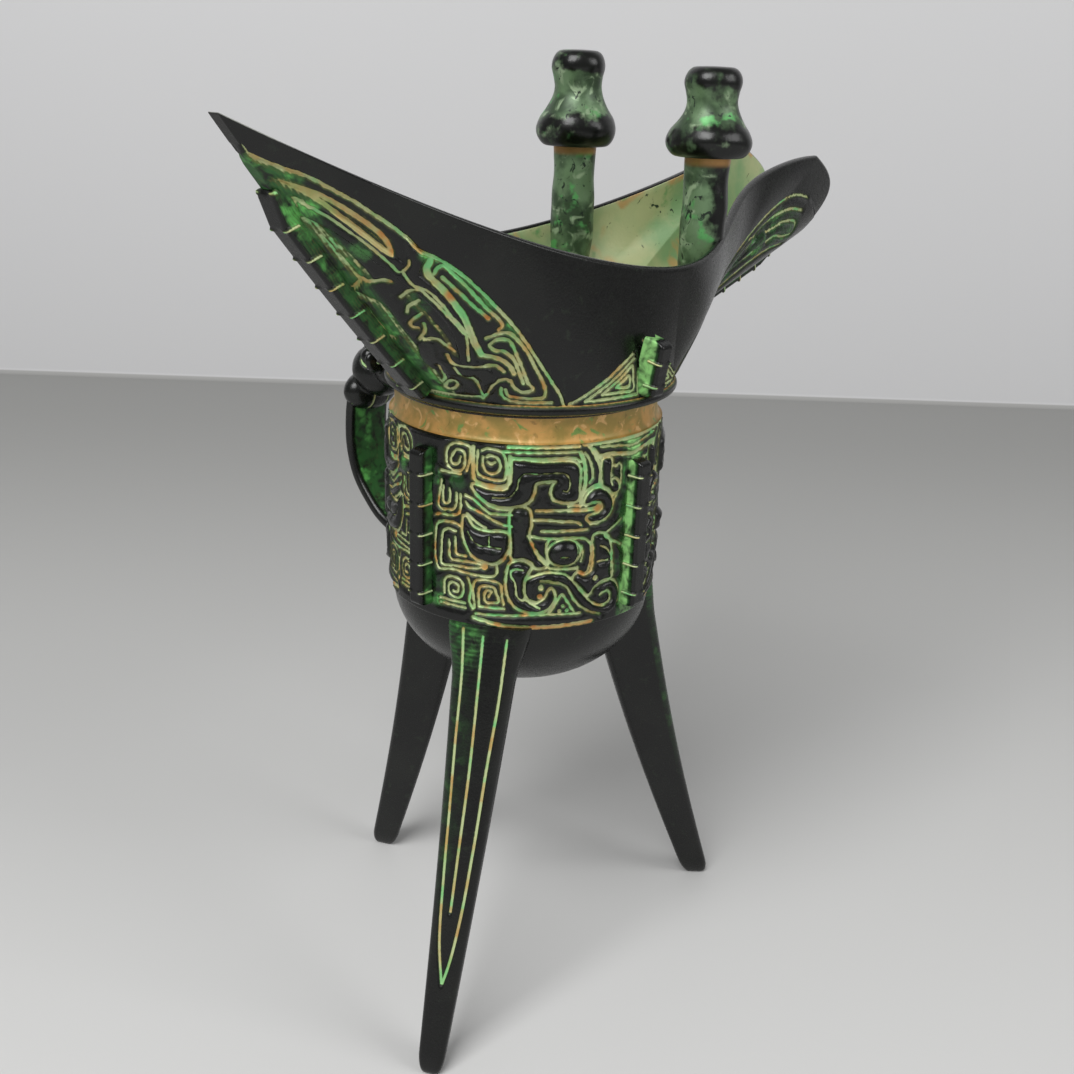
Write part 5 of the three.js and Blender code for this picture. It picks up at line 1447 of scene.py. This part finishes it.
def flange(name, node, root, proud, heading, shift_x, pitch, tilt=0.0, bloom=0.9, thick=4.2, lines=0,
           sunk=2.2):
    """A notched flange over a root line of (distance from the axis, height), standing this proud.

    "pitch" is the step between notches, "tilt" their lean, "lines" the strength of the grooves along
    the sides, and "sunk" how far the root goes into the wall."""
    line, along = even(root, BLADE_STEP)
    ahead = np.gradient(line, axis=0)
    ahead /= np.linalg.norm(ahead, axis=1, keepdims=True)
    out = np.stack((ahead[:, 1], -ahead[:, 0]), -1)
    start, stop = along / BLADE_END, (along[-1] - along) / BLADE_END
    rounding = np.sqrt(np.clip(1 - (1 - np.clip(np.minimum(start, stop), 0, 1)) ** 2, 0, 1))
    stand = np.interp(along / along[-1], np.linspace(0, 1, len(proud)), proud) * lerp(0.35, 1, rounding)
    level, side = blade_section()
    reach = np.where(level > 0, level * stand[:, None], level * sunk)
    across = side[None] * thick / 2 * lerp(0.75, 1, rounding)[:, None]
    radius = line[:, :1] + out[:, :1] * reach
    height = line[:, 1:] + out[:, 1:] * reach
    points = facing(heading, radius, across, height, shift_x)
    carried = (along[:, None] + reach * math.tan(tilt)) * MM
    notched = ramp(np.abs(side), 0.35, 0.7) * (level > 0.1)
    green = 1 - ramp(level, 0.45, 0.9)
    waver = level + 0.04 * np.sin(along * 0.7)[:, None] + 0.03 * np.sin(along * 1.9)[:, None]
    grooves = lines * ramp(np.cos(waver * 2 * math.pi / GROOVE_PITCH), -0.2, 0.9) * (level < 0.85)
    values = {"along": carried, "notched": notched, "relief": (1 - 0.4 * green) * (1 - grooves),
              "bloom": bloom * green}
    values = {key: np.broadcast_to(value, reach.shape) for key, value in values.items()}
    mesh = build_mesh(name, points, tube_faces(points), values)
    raw = put_in_scene(name + "_blank", mesh)
    modifier = raw.modifiers.new("notches", "NODES")
    modifier.node_group = notching
    inputs = {"Pitch": pitch * MM, "Width": NOTCH_WIDTH * MM, "Depth": NOTCH_DEPTH * MM, "Finish": BRONZE}
    for label, value in inputs.items():
        modifier[NOTCH_IDS[label]] = value
    evaluated = raw.evaluated_get(bpy.context.evaluated_depsgraph_get())
    cast = bpy.data.meshes.new_from_object(evaluated)
    cast.name = name
    bpy.data.objects.remove(raw)
    return place_piece(name, cast, [node])


for name, heading, top in (("tail", math.pi, 140.6), ("front", -math.pi / 2, 138.6), ("spout", 0, 138.6)):
    body_root = [(CUP_RADIUS, BODY_FLANGE_LOW_Z), (CUP_RADIUS, top)]
    flange(f"flange_body_{name}_cast", f"flange_body_{name}", body_root, [3.8, 3.8], heading, 0, BODY_PITCH,
           bloom=1.5 if name == "front" else 0.9)
neck_root = [(33.0, 152.7), (33.6, 158), (34.5, 162.5), (35.1, 165.2)]
for name, heading in (("front", -math.pi / 2), ("handle", math.pi / 2)):
    flange(f"flange_neck_{name}_cast", f"flange_neck_{name}", neck_root, [3.4, 3.5, 3.3], heading,
           NECK_SHIFT, NECK_PITCH, bloom=1.4)


def keel(t, start, stop, count=40):
    """The keel's line as (distance from the axis, height)."""
    line = wall(np.full(count, t), np.linspace(start, stop, count))
    return np.stack((np.abs(line[:, 0]), line[:, 2]), -1)


flange("flange_tail_cast", "flange_neck_tail", keel(1.0, 0.02, 0.78), KEEL_PROUD, math.pi, 0,
       KEEL_PITCH, tilt=math.radians(-20), bloom=1.0, thick=5.4, lines=0.4)
flange("flange_spout_cast", "flange_neck_spout", keel(-2.0, 0.03, 0.93), KEEL_PROUD, 0, 0, KEEL_PITCH,
       sunk=0.8)

# %% [markdown]
# ## Studio
# A pale table runs back to a pale wall, with a soft hollow between them, as on a photographer's
# bench. The table is painted darker towards the back, and the hollow is painted dark up to the wall,
# as painted shade. One large soft lamp stands to the left and a weaker one to the right. The wall
# casts no shadow and sends no light of its own onto the goblet, so that it doesn't change the lighting.

# %% Floor, wall and lamps
STUDIO_HALF = 3.0
WALL_BEYOND_AXIS = 0.588
COVE_RADIUS = 0.004
WALL_TOP = 2.0
AHEAD = Vector((math.cos(CAMERA_HEADING), math.sin(CAMERA_HEADING), 0))


def matt_paint_with_painted_shade(name, near, far, start, stop):
    """Matt paint that darkens slowly between two distances beyond the goblet: painted shade where the light
    falls off.
    """
    material, output = new_material(name)
    tree = material.node_tree
    place = add(tree, "ShaderNodeTexCoord").outputs["Object"]
    along = add(tree, "ShaderNodeVectorMath", {"operation": "DOT_PRODUCT", 1: AHEAD}, {0: place})
    colour = blend_colour(tree, step(tree, along.outputs["Value"], start, stop), near, far)
    shader = add(tree, "ShaderNodeBsdfPrincipled", {"Roughness": 0.6}, {"Base Color": colour})
    tree.links.new(shader.outputs["BSDF"], output.inputs["Surface"])
    return material


def sweep_across(name, section, material):
    """A sheet across the camera's heading from a section of (distance beyond the axis, height)."""
    across = Vector((-AHEAD.y, AHEAD.x, 0))
    corners = []
    for beyond, height in section:
        middle = AXIS + AHEAD * beyond + Vector((0, 0, height))
        corners += [middle - across * STUDIO_HALF, middle + across * STUDIO_HALF]
    faces = [(2 * i, 2 * i + 2, 2 * i + 3, 2 * i + 1) for i in range(len(section) - 1)]
    mesh = bpy.data.meshes.new(name)
    mesh.from_pydata([tuple(corner) for corner in corners], [], faces)
    mesh.materials.append(material)
    mesh.shade_smooth()
    made = put_in_scene(name, mesh)
    return made


cove = [(WALL_BEYOND_AXIS - COVE_RADIUS * (1 - math.sin(turn)), COVE_RADIUS * (1 - math.cos(turn)))
        for turn in np.linspace(0, math.pi / 2, 9).tolist()]
# The table is painted darker towards the back: painted shade.
sweep_across("floor", [(-STUDIO_HALF, 0), cove[0]],
             matt_paint_with_painted_shade("pale_table", "#cfcfce", "#a0a09e", -0.25, 0.5))
# The hollow keeps the table's darker colour up to the wall: painted shade that hides the lamp's highlight on
# it.
wall_sheet = sweep_across("wall", [*cove, (WALL_BEYOND_AXIS, WALL_TOP)],
                          matt_paint_with_painted_shade("pale_wall", "#a0a09e", "#cfcfd0", 0.5690, 0.5695))
wall_sheet.visible_shadow = False
wall_sheet.visible_diffuse = False


def soft_lamp(name, place, size, power):
    """A square lamp that looks at the frame's origin. Size in metres, power in watts."""
    data = bpy.data.lights.new(name, "AREA")
    data.size = size
    data.energy = power
    lamp = put_in_scene(name, data)
    lamp.location = place
    lamp.rotation_euler = (-Vector(place)).to_track_quat("-Z", "Y").to_euler()
    return lamp


soft_lamp("key_lamp", (-0.9, -0.2, 1.2), 0.8, 20)
soft_lamp("fill_lamp", (0.35, -1.1, 0.8), 0.7, 6)
world = bpy.data.worlds.new("studio")
world.use_nodes = True
world.node_tree.nodes["Background"].inputs["Color"].default_value = rgb("#c8c8c8")
world.node_tree.nodes["Background"].inputs["Strength"].default_value = 0.45
bpy.context.scene.world = world
bpy.context.scene.view_settings.view_transform = "Standard"
